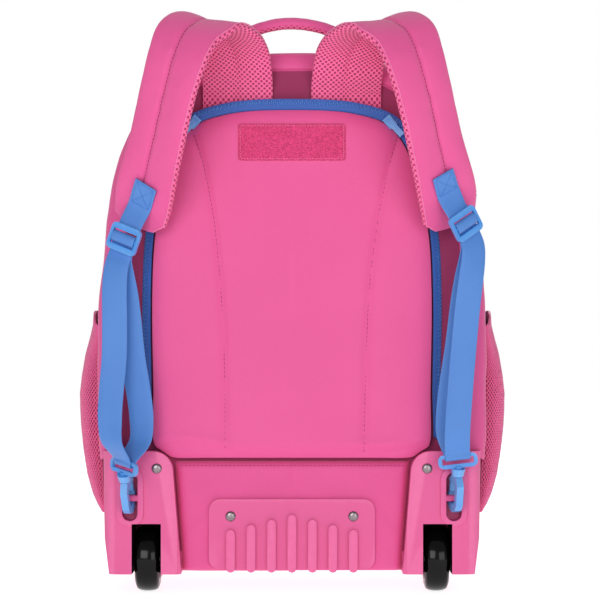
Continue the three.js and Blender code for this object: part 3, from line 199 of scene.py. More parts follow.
# %% Group: threads of a plain weave
weave_group, w, given, result = new_group(
    "woven threads", [("Place", VECTOR, None), ("Thread", NUMBER, 0.0008)], ["Height", "Warp"]
)
scaled = w.node("ShaderNodeVectorMath", {"operation": "DIVIDE"})
w.feed(scaled.inputs[0], given["Place"])
thread_size = w.node("ShaderNodeCombineXYZ", X=given["Thread"], Y=given["Thread"], Z=given["Thread"])
w.feed(scaled.inputs[1], thread_size.outputs[0])
parts = w.node("ShaderNodeSeparateXYZ")
w.feed(parts.inputs[0], scaled.outputs[0])
waves = []
for axis in ("X", "Y"):
    sine = w.math("SINE", w.math("MULTIPLY", parts.outputs[axis], math.pi))
    waves.append(w.math("ABSOLUTE", sine))
counts = [w.math("FLOOR", parts.outputs[axis]) for axis in ("X", "Y")]
checks = w.math("PINGPONG", w.math("ADD", *counts), 1.0)
over = w.math("MULTIPLY", waves[0], checks)
under = w.math("MULTIPLY", waves[1], w.math("SUBTRACT", 1.0, checks))
w.feed(result["Height"], w.math("ADD", over, under))
w.feed(result["Warp"], checks)
print("weave gives", list(result.keys()))

# %% Group: uneven dye, from two sizes of cloud
dye_group, w, given, result = new_group(
    "uneven dye", [("Place", VECTOR, None), ("Scale", NUMBER, 14.0), ("Contrast", NUMBER, 0.25)], ["Shade"]
)
broad = w.node("ShaderNodeTexNoise", Vector=given["Place"], Scale=given["Scale"], Detail=3.0)
fine_scale = w.math("MULTIPLY", given["Scale"], 40.0)
fine = w.node("ShaderNodeTexNoise", Vector=given["Place"], Scale=fine_scale, Detail=2.0)
mixed = w.blend(broad.outputs[0], 0.65, fine.outputs[0], 0.35)
centred = w.math("MULTIPLY", w.math("SUBTRACT", mixed, 0.5), given["Contrast"])
w.feed(result["Shade"], w.math("ADD", centred, 0.5, clamp=True))
print("dye gives", list(result.keys()))

# %% Group: grain of a mould
grain_group, w, given, result = new_group(
    "moulded grain", [("Place", VECTOR, None), ("Size", NUMBER, 0.0009)], ["Height"]
)
cell_scale, cloud_scale = (w.math("DIVIDE", share, given["Size"]) for share in (1.0, 0.5))
cells = w.node("ShaderNodeTexVoronoi", {"feature": "SMOOTH_F1"}, Vector=given["Place"], Scale=cell_scale)
cloud = w.node("ShaderNodeTexNoise", Vector=given["Place"], Scale=cloud_scale, Detail=3.0)
w.feed(result["Height"], w.blend(cells.outputs["Distance"], 0.6, cloud.outputs[0], 0.4))
print("grain gives", list(result.keys()))

# %% Group: wear along edges
wear_group, w, given, result = new_group(
    "edge wear", [("Place", VECTOR, None), ("Reach", NUMBER, 0.06)], ["Mask"]
)
edges = w.node("ShaderNodeNewGeometry")
spots = w.node("ShaderNodeTexNoise", Vector=given["Place"], Scale=160.0, Detail=4.0)
reach = w.math("MULTIPLY", spots.outputs[0], given["Reach"])
raised = w.math("SUBTRACT", edges.outputs["Pointiness"], w.math("SUBTRACT", 0.56, reach))
w.feed(result["Mask"], w.math("MULTIPLY", raised, 9.0, clamp=True))
print("node groups", len(bpy.data.node_groups))

# %% [markdown]
# ## Finishes
#
# A dyed colour is never one number over a whole panel. Every finish has a darker and a lighter colour,
# in ordinary screen values, and mixes them by the masks above.

# %% Colour helpers and a blank finish


def screen(r, g, b):
    """Screen colour from 0 to 255, as the linear colour that shaders use."""
    def linear(v):
        v /= 255
        return v / 12.92 if v <= 0.04045 else ((v + 0.055) / 1.055) ** 2.4
    return (linear(r), linear(g), linear(b), 1.0)


def blank_finish(name, roughness, **sockets):
    material = bpy.data.materials.new(name)
    material.use_nodes = True
    tree = material.node_tree
    shader = tree.nodes["Principled BSDF"]
    shader.inputs["Roughness"].default_value = roughness
    for key, value in sockets.items():
        shader.inputs[key.replace("_", " ")].default_value = value
    return material, Wiring(tree), shader


def two_tone(w, dark, light, mask):
    """A mix of two colours by a mask. Each may be a colour or the output of another node."""
    mix = w.node("ShaderNodeMix", {"data_type": "RGBA"})
    for socket, value in zip((mix.inputs[0], mix.inputs[6], mix.inputs[7]), (mask, dark, light)):
        w.feed(socket, value)
    return mix.outputs[2]


def bumped(w, shader, height, strength, distance):
    bump = w.node("ShaderNodeBump", Height=height)
    bump.inputs["Strength"].default_value = strength
    bump.inputs["Distance"].default_value = distance
    w.feed(shader.inputs["Normal"], bump.outputs[0])


def group_node(w, group, **inputs):
    made = w.tree.nodes.new("ShaderNodeGroup")
    made.node_tree = group
    for key, value in inputs.items():
        w.feed(made.inputs[key], value)
    return made.outputs


print("mid grey of a screen is", [round(v, 3) for v in screen(128, 128, 128)])


# %% Cloth finishes


def cloth_finish(name, dark, light, thread=0.0009, depth=0.00012, roughness=0.62, sheen=0.25):
    material, w, shader = blank_finish(name, roughness, Sheen_Weight=sheen, Sheen_Roughness=0.45)
    shader.inputs["Specular IOR Level"].default_value = 0.35
    spot = w.node("ShaderNodeTexCoord")
    threads = group_node(w, weave_group, Place=spot.outputs["UV"], Thread=thread)
    dye = group_node(w, dye_group, Place=spot.outputs["Object"], Scale=11.0, Contrast=0.8)
    mask = w.blend(threads["Height"], 0.3, dye["Shade"], 0.7, clamp=True)
    w.feed(shader.inputs["Base Color"], two_tone(w, dark, light, mask))
    polish = w.math("MULTIPLY", threads["Height"], 0.16)
    w.feed(shader.inputs["Roughness"], w.math("SUBTRACT", roughness + 0.08, polish))
    bumped(w, shader, threads["Height"], 0.5, depth)
    return material


PINK_CLOTH = cloth_finish("pink oxford cloth", screen(212, 72, 138), screen(236, 96, 158))
DEEP_CLOTH = cloth_finish("pink oxford cloth in deep shade", screen(208, 68, 134), screen(232, 92, 154))
LINING = cloth_finish("sleeve lining", screen(120, 24, 66), screen(150, 36, 90), roughness=0.75)
BINDING = cloth_finish("pink binding tape", screen(190, 50, 112), screen(222, 82, 146), thread=0.0006)
# The rear wall is the same pink cloth; this darker pair is painted shade under the straps and the panel.
SHADED_WALL_CLOTH = cloth_finish("pink cloth in painted shade, rear wall", screen(130, 24, 74), screen(160, 40, 94))
print("cloth finishes", len(bpy.data.materials))

# %% Spacer mesh: rows of rounded holes, each row shifted by half a hole


def spacer_mesh_finish(name, wide, tall, hole, face_dark, face_light, deep):
    """wide and tall are the pattern's pitches in metres, and a larger hole value makes smaller holes.
    The deep colour fills the holes: painted shade where the knit lies back.
    """
    material, w, shader = blank_finish(name, 0.7, Sheen_Weight=0.2)
    spot = w.node("ShaderNodeTexCoord")
    parts = w.node("ShaderNodeSeparateXYZ", Vector=spot.outputs["UV"])
    across = w.math("COSINE", w.math("MULTIPLY", parts.outputs["X"], 2 * math.pi / wide))
    along = w.math("COSINE", w.math("MULTIPLY", parts.outputs["Y"], 2 * math.pi / tall))
    both = w.math("MULTIPLY", across, along)
    rim = w.math("MULTIPLY", w.math("SUBTRACT", hole, both), 3.2, clamp=True)
    dye = group_node(w, dye_group, Place=spot.outputs["Object"], Scale=16.0, Contrast=0.7)
    face = two_tone(w, face_dark, face_light, dye["Shade"])
    # Holes take the deep colour: painted shade in the hollows.
    w.feed(shader.inputs["Base Color"], two_tone(w, deep, face, rim))
    bumped(w, shader, rim, 0.9, 0.0013)
    return material


# The last colour is painted shade for the holes.
SPACER_MESH = spacer_mesh_finish(
    "pink spacer mesh", 0.0052, 0.006, 0.42, screen(238, 84, 146), screen(255, 122, 174), screen(176, 28, 88)
)
print("made", SPACER_MESH.name)

# %% Webbing, net, loop tape, zip tape and thread
RIB_PITCH, CORD_PITCH = 0.0012, 0.001


def webbing_finish(name, dark, light):
    """Ribs across the band over fine lengthwise cords."""
    material, w, shader = blank_finish(name, 0.55, Sheen_Weight=0.15)
    spot = w.node("ShaderNodeTexCoord")
    parts = w.node("ShaderNodeSeparateXYZ", Vector=spot.outputs["UV"])
    ribs = w.math("ABSOLUTE", w.math("SINE", w.math("MULTIPLY", parts.outputs["Y"], math.pi / RIB_PITCH)))
    cords = w.math("ABSOLUTE", w.math("SINE", w.math("MULTIPLY", parts.outputs["X"], math.pi / CORD_PITCH)))
    height = w.blend(ribs, 0.6, cords, 0.4)
    dye = group_node(w, dye_group, Place=spot.outputs["Object"], Scale=20.0, Contrast=0.7)
    mask = w.blend(height, 0.3, dye["Shade"], 0.7, clamp=True)
    w.feed(shader.inputs["Base Color"], two_tone(w, dark, light, mask))
    bumped(w, shader, height, 0.5, 0.0002)
    return material


BLUE_WEBBING = webbing_finish("blue webbing", screen(54, 108, 190), screen(86, 142, 212))
ZIP_TAPE = webbing_finish("blue zip tape", screen(18, 66, 152), screen(46, 102, 188))
# The zip's other tape is blue too; these navy colours are painted shade along the panel's edge.
SHADED_ZIP_TAPE = webbing_finish("blue zip tape in painted shade", screen(8, 22, 74), screen(24, 48, 112))
NET = cloth_finish(
    "pink knitted net", screen(240, 84, 146), screen(255, 122, 176), thread=0.0007, roughness=0.7
)
# Darker than the net and the cloth: painted shade inside the pocket, with darker holes as well.
SHADED_NET_BACKING = spacer_mesh_finish(
    "fine knit behind the net, in painted shade", 0.0022, 0.0026, 0.5,
    screen(196, 48, 112), screen(222, 70, 134), screen(150, 24, 78)
)
ELASTIC = webbing_finish("pink elastic hem", screen(206, 56, 124), screen(244, 98, 164))


def loop_pile_finish(name, dark, light):
    """A mat of tiny loops: fine speckle at two sizes, and no shine."""
    material, w, shader = blank_finish(name, 0.95, Sheen_Weight=0.5)
    spot = w.node("ShaderNodeTexCoord")
    loops = w.node("ShaderNodeTexVoronoi", Vector=spot.outputs["Object"], Scale=760.0)
    tufts = w.node("ShaderNodeTexNoise", Vector=spot.outputs["Object"], Scale=420.0, Detail=3.0)
    height = w.blend(loops.outputs["Distance"], 0.7, tufts.outputs[0], 0.6)
    mask = w.math("MULTIPLY", w.math("SUBTRACT", height, 0.32), 2.2, clamp=True)
    w.feed(shader.inputs["Base Color"], two_tone(w, dark, light, mask))
    bumped(w, shader, height, 0.9, 0.0008)
    return material


LOOP_TAPE = loop_pile_finish("loop pile", screen(164, 18, 76), screen(222, 64, 124))
PINK_THREAD = cloth_finish(
    "pink thread", screen(240, 110, 168), screen(255, 158, 202), thread=0.0003, sheen=0.1
)
DEEP_THREAD = cloth_finish(
    "deep pink thread", screen(142, 26, 80), screen(172, 42, 104), thread=0.0003, sheen=0.1
)
BLUE_THREAD = cloth_finish("blue thread", screen(30, 84, 170), screen(80, 142, 216), thread=0.0003, sheen=0.1)
print("finishes so far", len(bpy.data.materials))

# %% Moulded plastic, metal and wheel finishes
WEAR_REACH = 0.05


def moulded_finish(name, dark, light, worn, roughness, grain, depth, coat=0.0, shine=0.5):
    """grain is the size of the mould's grain and depth its height, both in metres."""
    material, w, shader = blank_finish(name, roughness, Coat_Weight=coat, Coat_Roughness=0.12)
    shader.inputs["Specular IOR Level"].default_value = shine
    spot = w.node("ShaderNodeTexCoord")
    skin = group_node(w, grain_group, Place=spot.outputs["Object"], Size=grain)
    dye = group_node(w, dye_group, Place=spot.outputs["Object"], Scale=9.0, Contrast=0.5)
    wear = group_node(w, wear_group, Place=spot.outputs["Object"], Reach=WEAR_REACH)
    moulded = two_tone(w, dark, light, dye["Shade"])
    rubbed = w.math("MULTIPLY", wear["Mask"], 0.55)
    w.feed(shader.inputs["Base Color"], two_tone(w, moulded, worn, rubbed))
    rough = w.math("ADD", roughness - 0.05, w.math("MULTIPLY", skin["Height"], 0.12))
    w.feed(shader.inputs["Roughness"], w.math("ADD", rough, w.math("MULTIPLY", wear["Mask"], 0.12)))
    bumped(w, shader, skin["Height"], 0.25, depth)
    return material


PINK_PLASTIC = moulded_finish(
    "pink moulded plastic", screen(210, 74, 136), screen(226, 90, 150), screen(244, 128, 176),
    0.42, 0.0009, 0.00012,
)
BLUE_PLASTIC = moulded_finish(
    "blue moulded plastic", screen(42, 112, 198), screen(84, 158, 230), screen(140, 194, 240),
    0.3, 0.0006, 0.00005, coat=0.15,
)
COIL_BLUE = moulded_finish(
    "blue nylon coil", screen(18, 62, 150), screen(48, 112, 200), screen(90, 150, 222), 0.4, 0.0006, 0.00003
)
GLOSS_BLACK = moulded_finish(
    "gloss black wheel", screen(3, 3, 4), screen(8, 8, 9), screen(24, 24, 26),
    0.14, 0.0008, 0.00002, coat=0.12, shine=0.16,
)
HUB_BLACK = moulded_finish(
    "hub plastic", screen(8, 8, 9), screen(16, 16, 18), screen(40, 40, 43), 0.4, 0.0008, 0.00006, shine=0.25
)


def metal_finish(name, dark, light, roughness, stretch):
    """stretch scales the brush lines along each axis."""
    material, w, shader = blank_finish(name, roughness, Metallic=1.0)
    spot = w.node("ShaderNodeTexCoord")
    lines = w.node("ShaderNodeMapping", Vector=spot.outputs["Object"], Scale=stretch)
    brush = w.node("ShaderNodeTexNoise", Vector=lines.outputs[0], Scale=900.0, Detail=4.0)
    wear = group_node(w, wear_group, Place=spot.outputs["Object"], Reach=WEAR_REACH)
    mask = w.math("ADD", brush.outputs[0], w.math("MULTIPLY", wear["Mask"], 0.3), clamp=True)
    w.feed(shader.inputs["Base Color"], two_tone(w, dark, light, mask))
    rough = w.math("MULTIPLY", brush.outputs[0], 0.16)
    w.feed(shader.inputs["Roughness"], w.math("ADD", roughness - 0.08, rough))
    bumped(w, shader, brush.outputs[0], 0.2, 0.00005)
    return material


RIVET_STEEL = metal_finish("satin steel", screen(112, 102, 106), screen(166, 156, 160), 0.3, (1, 1, 1))
TUBE_ALUMINIUM = metal_finish(
    "drawn aluminium", screen(150, 152, 156), screen(204, 206, 208), 0.34, (1, 1, 0.04)
)
STAGE_WHITE, w, shader = blank_finish("glowing milk glass", 0.9)
shade = w.node("ShaderNodeTexNoise", Scale=6.0, Detail=2.0)
glass_dark, glass_light = (0.42, 0.42, 0.42, 1), (0.46, 0.46, 0.46, 1)
w.feed(shader.inputs["Base Color"], two_tone(w, glass_dark, glass_light, shade.outputs[0]))
shader.inputs["Emission Color"].default_value = (1, 1, 1, 1)
shader.inputs["Emission Strength"].default_value = 0.86
floor.data.materials.append(STAGE_WHITE)
print("finishes", len(bpy.data.materials))

# %% [markdown]
# ## Tools of a soft-goods maker
#
# Nearly every soft piece is a grid of points: rows along it and columns across it. A smooth curve runs
# through a few measured points, a grid becomes a mesh with its real size in the UV map, and a gentle
# seeded noise gives the cloth its unevenness. The UV map is in metres, so a weave has the same size
# on every piece.

# %% Curves through measured points


def spline(points, per_span=10, closed=False):
    """Dense points of a centripetal curve through a few points."""
    pts = [Vector(p) for p in points]
    count = len(pts)
    dense = []
    for i in range(count if closed else count - 1):
        p1, p2 = pts[i], pts[(i + 1) % count]
        p0 = pts[i - 1] if closed or i else p1 * 2 - p2
        p3 = pts[(i + 2) % count] if closed or i + 2 < count else p2 * 2 - p1
        d0, d1, d2 = (max((b - a).length, 1e-9) ** 0.5 for a, b in ((p0, p1), (p1, p2), (p2, p3)))
        t1 = ((p1 - p0) / d0 - (p2 - p0) / (d0 + d1) + (p2 - p1) / d1) * d1
        t2 = ((p2 - p1) / d1 - (p3 - p1) / (d1 + d2) + (p3 - p2) / d2) * d1
        for k in range(per_span):
            t = k / per_span
            t_2, t_3 = t * t, t * t * t
            start = p1 * (2 * t_3 - 3 * t_2 + 1) + t1 * (t_3 - 2 * t_2 + t)
            dense.append(start + p2 * (3 * t_2 - 2 * t_3) + t2 * (t_3 - t_2))
    if not closed:
        dense.append(pts[-1])
    return np.array([tuple(p) for p in dense])


def distances(points):
    """How far along a run of points each of them lies."""
    return np.r_[0, np.cumsum(np.linalg.norm(np.diff(points, axis=0), axis=1))]


def unit(vectors):
    """Vectors of length one, in the same directions."""
    return vectors / np.linalg.norm(vectors, axis=-1, keepdims=True)


def even(dense, count, closed=False):
    """count points at equal distances along dense ones."""
    pts = np.vstack([dense, dense[:1]]) if closed else np.asarray(dense)
    steps = distances(pts)
    where = np.linspace(0, steps[-1], count, endpoint=not closed)
    return np.stack([np.interp(where, steps, pts[:, i]) for i in range(pts.shape[1])], axis=1)


def lookup(table, at, column=1):
    """A value between the rows of a table whose first column rises."""
    return float(np.interp(at, [row[0] for row in table], [row[column] for row in table]))


def soft_noise(p, size, seed=0.0):
    """Smooth noise from about -1 to 1, with bumps of about size millimetres."""
    return noise.noise(Vector(p) / (size * MM) + Vector((seed, seed * 0.7, -seed)))


print("noise at the origin", round(soft_noise((0, 0, 0), 10), 3))


# %% Grids to meshes


def mesh_piece(name, points, faces, uvs, finish, body, slot_name, finishes=None):
    """A smooth mesh with a finish, or a list of them with each face's number, that rides on a body."""
    mesh = bpy.data.meshes.new(name)
    mesh.from_pydata([tuple(p) for p in points], [], faces)
    layer = mesh.uv_layers.new(name="weave")
    if uvs:
        layer.data.foreach_set("uv", np.array(uvs, float).ravel())
    if finishes:
        mesh.polygons.foreach_set("material_index", finishes)
    obj = bpy.data.objects.new(name, mesh)
    bpy.context.scene.collection.objects.link(obj)
    for each in finish if isinstance(finish, list) else [finish]:
        mesh.materials.append(each)
    for polygon in mesh.polygons:
        polygon.use_smooth = True
    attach(obj, body)
    return obj


def grid_piece(
    name, grid, finish, slot_name, body="bag", closed=(False, False), caps=False, keep=None, pick=None
):
    """Mesh over rows of points in metres. closed: whether rows, then columns, run round on themselves.
    keep(r, c) says which faces stay, and pick(r, c) gives a face's finish."""
    grid = np.asarray(grid, float)
    rows, cols = grid.shape[:2]
    middle_row, middle_col = grid[rows // 2], grid[:, cols // 2]
    u = distances(np.vstack([middle_row, middle_row[:1]]))
    v = distances(np.vstack([middle_col, middle_col[:1]]))
    u -= u[cols // 2]
    faces, uvs, finishes = [], [], []
    for r in range(rows if closed[0] else rows - 1):
        for c in range(cols if closed[1] else cols - 1):
            if keep and not keep(r, c):
                continue
            r1, c1 = (r + 1) % rows, (c + 1) % cols
            faces.append((r * cols + c, r * cols + c1, r1 * cols + c1, r1 * cols + c))
            uvs += [(u[c], v[r]), (u[c + 1], v[r]), (u[c + 1], v[r + 1]), (u[c], v[r + 1])]
            finishes.append(pick(r, c) if pick else 0)
    if caps:
        for row in (0, rows - 1):
            ring = [row * cols + c for c in range(cols)]
            faces.append(tuple(ring if row else ring[::-1]))
            flat = grid[row] - grid[row].mean(axis=0)
            uvs += [(p[0], p[2]) for p in (flat if row else flat[::-1])]
            finishes.append(pick(row, 0) if pick else 0)
    return mesh_piece(name, grid.reshape(-1, 3), faces, uvs, finish, body, slot_name, finishes)


def grid_normals(grid, closed=(False, False)):
    """Direction away from the surface at each point of a grid."""
    def along(axis, wraps):
        if wraps:
            return np.roll(grid, -1, axis) - np.roll(grid, 1, axis)
        return np.gradient(grid, axis=axis)
    normal = np.cross(along(1, closed[1]), along(0, closed[0]))
    return normal / np.maximum(np.linalg.norm(normal, axis=2, keepdims=True), 1e-12)


def apply_modifier(obj, kind, **settings):
    modifier = obj.modifiers.new(kind.lower(), kind)
    for key, value in settings.items():
        setattr(modifier, key, value)
    bpy.context.view_layer.objects.active = obj
    with bpy.context.temp_override(object=obj, active_object=obj, selected_objects=[obj]):
        bpy.ops.object.modifier_apply(modifier=modifier.name)


print("meshes so far", len(bpy.data.meshes))


# %% Tubes and stitches


def tube_grid(path, radius, sides=8, closed=False):
    """Rings of a thin round tube along a path."""
    path = np.asarray(path, float)
    if closed:
        tangent = np.roll(path, -1, 0) - np.roll(path, 1, 0)
    else:
        tangent = np.gradient(path, axis=0)
    side = np.cross(unit(tangent)[0], (0.13, 0.95, 0.28))
    angles = np.arange(sides) * 2 * math.pi / sides
    rings = []
    for p, t in zip(path, unit(tangent)):
        side = unit(side - t * side.dot(t))
        other = np.cross(t, side)
        rings.append([p + radius * (math.cos(a) * side + math.sin(a) * other) for a in angles])
    return np.array(rings)


DASH_SIDES = 6
DASH_FORM = [(0, 0.35), (0.25, 1), (0.75, 1), (1, 0.35)]  # shares of a dash's length and of its thickness
UV_ROUND, UV_ALONG = 0.0003, 0.001


def stitch_piece(name, runs, finish, slot_name, length=3.4, gap=1.5, thick=0.55):
    """Dashes of thread along runs of points, as one mesh. Each dash is a small rounded spindle."""
    points, faces, uvs = [], [], []
    for run in runs:
        run = np.asarray(run, float)
        steps = distances(run)
        where = gap * MM
        while where + length * MM < steps[-1]:
            spots = where + np.array([at for at, _ in DASH_FORM]) * length * MM
            here = np.stack([np.interp(spots, steps, run[:, i]) for i in range(3)], axis=1)
            ring = tube_grid(here, 1.0, DASH_SIDES)
            base = len(points)
            for k, (centre, (_, wide)) in enumerate(zip(here, DASH_FORM)):
                points += [centre + (p - centre) * thick * 0.5 * wide * MM for p in ring[k]]
            for k in range(len(DASH_FORM) - 1):
                for s in range(DASH_SIDES):
                    a, b = base + k * DASH_SIDES + s, base + k * DASH_SIDES + (s + 1) % DASH_SIDES
                    faces.append((a, b, b + DASH_SIDES, a + DASH_SIDES))
                    corners = ((s, k), (s + 1, k), (s + 1, k + 1), (s, k + 1))
                    uvs += [(i * UV_ROUND, j * UV_ALONG) for i, j in corners]
            for k in (0, len(DASH_FORM) - 1):
                end = [base + k * DASH_SIDES + s for s in range(DASH_SIDES)]
                faces.append(tuple(end if k else end[::-1]))
                uvs += [(0, 0)] * DASH_SIDES
            where += (length + gap) * MM
    return mesh_piece(name, points, faces, uvs, finish, "bag", slot_name)


def soften_solid(node, finish, width, angle=30):
    """A hard solid keeps its shape and gets rounded edges and its finish."""
    obj = nodes[node]
    obj.data.materials.clear()
    obj.data.materials.append(finish)
    bevel = obj.modifiers.new("rounded edges", "BEVEL")
    bevel.width = width * MM
    bevel.segments = 3
    bevel.limit_method = "ANGLE"
    bevel.angle_limit = math.radians(angle)
    bevel.harden_normals = True
    for polygon in obj.data.polygons:
        polygon.use_smooth = True
    return obj


print("tools ready")

# %% [markdown]
# ## Bag body
#
# The body is a loft: one outline, drawn in at the rear and front edges as if over a tube, and blown out
# a little at the sides. The wall is cloth, so its grid is fine enough for folds of 20 mm and more. It is
# open at the top where the pull handle goes in, and behind the wheel housings.

# %% Outline of the body
BODY_OUTLINE = [
    (0, 0), (0.5, 0), (0.85, 0), (0.87, 0.0005), (0.93, 0.009), (0.952, 0.035), (0.974, 0.08), (0.99, 0.19),
    (1, 0.344), (0.995, 0.508), (0.962, 0.637), (0.938, 0.714), (0.875, 0.811), (0.781, 0.884),
    (0.646, 0.942), (0.443, 0.981), (0.208, 0.998), (0, 1),
]
SIDE_SWELL = [(0.07, 0), (0.35, 2.2), (0.65, 2.2), (0.86, 0)]  # share of the depth, then millimetres
REAR_ROLL, FRONT_ROLL = 13.0, 28.0


def outline_ring(rows, half, bottom, height, count):
    """Closed loop of (x, z) through the right half of a symmetric outline and its mirror image."""
    right = [(a * half, 0, bottom + u * height) for a, u in rows]
    left = [(-x, y, z) for x, y, z in reversed(right[1:-1])]
    return even(spline(right + left, 8, closed=True), count, closed=True)[:, [0, 2]]


def body_ring(y, inset, count):
    half = BODY_WIDTH / 2 + lookup(SIDE_SWELL, y / BODY_DEPTH)
    return outline_ring(BODY_OUTLINE, half - inset, BODY_FOOT + inset, BODY_HEIGHT - 2 * inset, count)


def edge_inset(y):
    """How far the wall draws in: a rounded rear edge and a rounder front edge."""
    if y < REAR_ROLL:
        return EDGE_ROUND * (1 - math.sqrt(max(0.0, 1 - ((REAR_ROLL - y) / REAR_ROLL) ** 2)))
    if y > BODY_DEPTH - FRONT_ROLL:
        u = (y - BODY_DEPTH + FRONT_ROLL) / FRONT_ROLL
        return EDGE_ROUND * 1.15 * (1 - math.sqrt(max(0.0, 1 - u * u)))
    return 0.0


def body_half_at(y, z):
    ring = body_ring(y, edge_inset(y), 240)
    right = ring[ring[:, 0] > 0]
    right = right[np.argsort(right[:, 1])]
    return float(np.interp(z, right[:, 1], right[:, 0]))


print("half width in the middle", round(body_half_at(BODY_DEPTH / 2, BODY_HEIGHT / 2), 1))


# %% Rows of the body cloth
BODY_POINTS = 300
MAIN_ZIP_Y, MAIN_ZIP_HALF = 120, 13
SLEEVE_HALF, SLEEVE_REAR, SLEEVE_FRONT, SLEEVE_CORNER = 76, 6, 30, 4
rear_insets = [92, 80, 70, 62, 55, 49, 44, 39, 35, 31, 28, 25, 22.5, 20.5, 19.2]
rear_depths = [0, 0.12, 0.4, 0.9, 1.6, 2.5, 3.6, 4.8, 6, 8, 10, 12, 14, 18, 22, 26, 30]
side_depths = list(np.arange(35, 172, 5.0))
front_depths = [172, 177, 182, 186, 190, 193, 196, 198, 199.3, 200]
front_insets = [24, 29, 35, 42, 50, 60, 72, 86, 102, 120, 140]
body_rows = [(0, i) for i in rear_insets]
body_rows += [(y, edge_inset(y)) for y in rear_depths + side_depths + front_depths]
body_rows += [(BODY_DEPTH, i) for i in front_insets]
body_grid = np.zeros((len(body_rows), BODY_POINTS, 3))
for r, (y, inset) in enumerate(body_rows):
    ring = body_ring(y, inset, BODY_POINTS)
    if SLEEVE_REAR - 1 < y < SLEEVE_FRONT + 1:  # the sleeve's mouth has a clean edge
        top = np.where(ring[:, 1] > 400)[0]
        for edge in (-SLEEVE_HALF, SLEEVE_HALF):
            ring[top[np.argmin(abs(ring[top, 0] - edge))], 0] = edge
    body_grid[r] = np.stack([ring[:, 0] * MM, np.full(BODY_POINTS, REAR + y * MM), ring[:, 1] * MM], axis=1)
body_normals = grid_normals(body_grid, (False, True))
if body_normals[len(rear_insets) + 20, BODY_POINTS // 4, 0] < 0:
    body_normals = -body_normals
print("body rows", len(body_rows))

# %% Folds of the body cloth


def body_move(p, y, inset):
    """How far the cloth at p lies off the plain loft, in millimetres."""
    z = p.z / MM
    near_seam = math.exp(-max(y - 3, 0) / 16) if y > 0 else math.exp(-max(inset - 19, 0) / 10)
    puckers = soft_noise((p.x, 0, p.z), 15, 2.0) * 0.55 * near_seam
    folds = soft_noise((p.x * 0.7, p.y * 0.5, p.z * 1.25), 62, 5.0) * (1.5 if 6 < y < 196 else 0.5)
    dents = soft_noise(p, 24, 9.0) * 0.4
    sag = -1.3 * math.sin(math.pi * min(max((y - 12) / 92, 0), 1)) ** 2 if z > 60 else 0
    move = folds + dents + sag + puckers
    if y <= 6 and inset > 18.5:
        move = min(move, 0.25) * 0.6
    if z < 24:
        move = min(move, 0)
    if z > 150:  # flat under the main zip's tape
        under_zip = math.exp(-((y - MAIN_ZIP_Y) / 21) ** 6)
        move = move * (1 - under_zip) - 0.6 * under_zip
    return move


for r, (y, inset) in enumerate(body_rows):
    for c in range(BODY_POINTS):
        body_grid[r, c] += body_normals[r, c] * body_move(Vector(body_grid[r, c]), y, inset) * MM


print("body grid", body_grid.shape)

# %% Body cloth


def body_face_stays(r, c):
    """Whether a face stays: the pull handle's mouth and the space behind the housings are open."""
    p = (body_grid[r, c] + body_grid[min(r + 1, len(body_rows) - 1), (c + 1) % BODY_POINTS]) / 2
    x, y, z = abs(p[0]) / MM, (p[1] - REAR) / MM, p[2] / MM
    if z > 500 and x < SLEEVE_HALF and SLEEVE_REAR < y < SLEEVE_FRONT:
        return False
    return not (x > 117 + 0.08 * (z - 20) and z < 134 and y < 57)


# The rear wall's faces take the darker cloth: painted shade, not another cloth.
body_cloth = grid_piece(
    "body_cloth", body_grid, [PINK_CLOTH, SHADED_WALL_CLOTH], "cloth_pink", closed=(False, True), caps=True,
    keep=body_face_stays, pick=lambda r, c: 1 if r < len(rear_insets) - 1 else 0,
)
apply_modifier(body_cloth, "SOLIDIFY", thickness=2.2 * MM, offset=-1)
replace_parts(body_cloth, "bag_shell")
print("body cloth", len(body_cloth.data.polygons), "faces")

# %% Piping and stitches round the rear edge


def rear_edge_run(inset, y, foot):
    """Points along the rear outline, from one side over the top to the other."""
    ring = body_ring(0, inset, 400)
    start = int(np.argmin(ring[:, 1] + 1e3 * (abs(ring[:, 0]) > 5)))
    ring = np.roll(ring, -start, axis=0)
    run = ring[(ring[:, 1] > foot)]
    return even(np.array([place(x, y, z) for x, z in run]), 260)


piping = tube_grid(rear_edge_run(18.2, -0.8, 146), 1.9 * MM)
grid_piece("rear_edge_piping", piping, BINDING, "cloth_shade", closed=(False, True), caps=True)
edge_run = rear_edge_run(22.8, -0.55, 150)
stitch_piece("rear_edge_stitches", [edge_run], DEEP_THREAD, "cloth_pink", length=2.6, gap=1.2, thick=0.5)
print("piping round the rear edge")

# %% Sleeve of the pull handle
x, y0, y1, r = SLEEVE_HALF, SLEEVE_REAR, SLEEVE_FRONT, SLEEVE_CORNER
half_loop = [(x - r, y0), (x, y0 + r), (x, y1 - r), (x - r, y1)]
loop = half_loop + [(-a, b) for a, b in reversed(half_loop)]
loop = even(np.array(loop + loop[:1], float), 61)[:-1]
sleeve_rows = [[tuple(place(a, b, z)) for a, b in loop] for z in (538.5, 536, 528, 505, 470, 430)]
sleeve = grid_piece("handle_sleeve_lining", sleeve_rows, LINING, "cloth_shade", closed=(False, True))
apply_modifier(sleeve, "SOLIDIFY", thickness=0.8 * MM, offset=0)
print("sleeve", len(sleeve.data.polygons), "faces")

# %% [markdown]
# ## Padded back panel
#
# The panel is foam under cloth, sewn through along two lines. So it is a crowned sheet: high in the
# middle, rolled down to the zip at its edge, with a groove where each seam pulls it in, and small
# pleats at the bottom where the panel is sewn to the base.

# %% Height of the panel
FLAP_OUTLINE = [
    (0, 0), (0.6, 0), (0.82, 0), (0.872, 0.004), (0.9, 0.012), (0.935, 0.0215), (0.96, 0.0275),
    (0.985, 0.037), (0.992, 0.2), (1, 0.46), (0.979, 0.637), (0.914, 0.777), (0.8, 0.9),
    (0.69, 0.955), (0.43, 0.99), (0, 1),
]
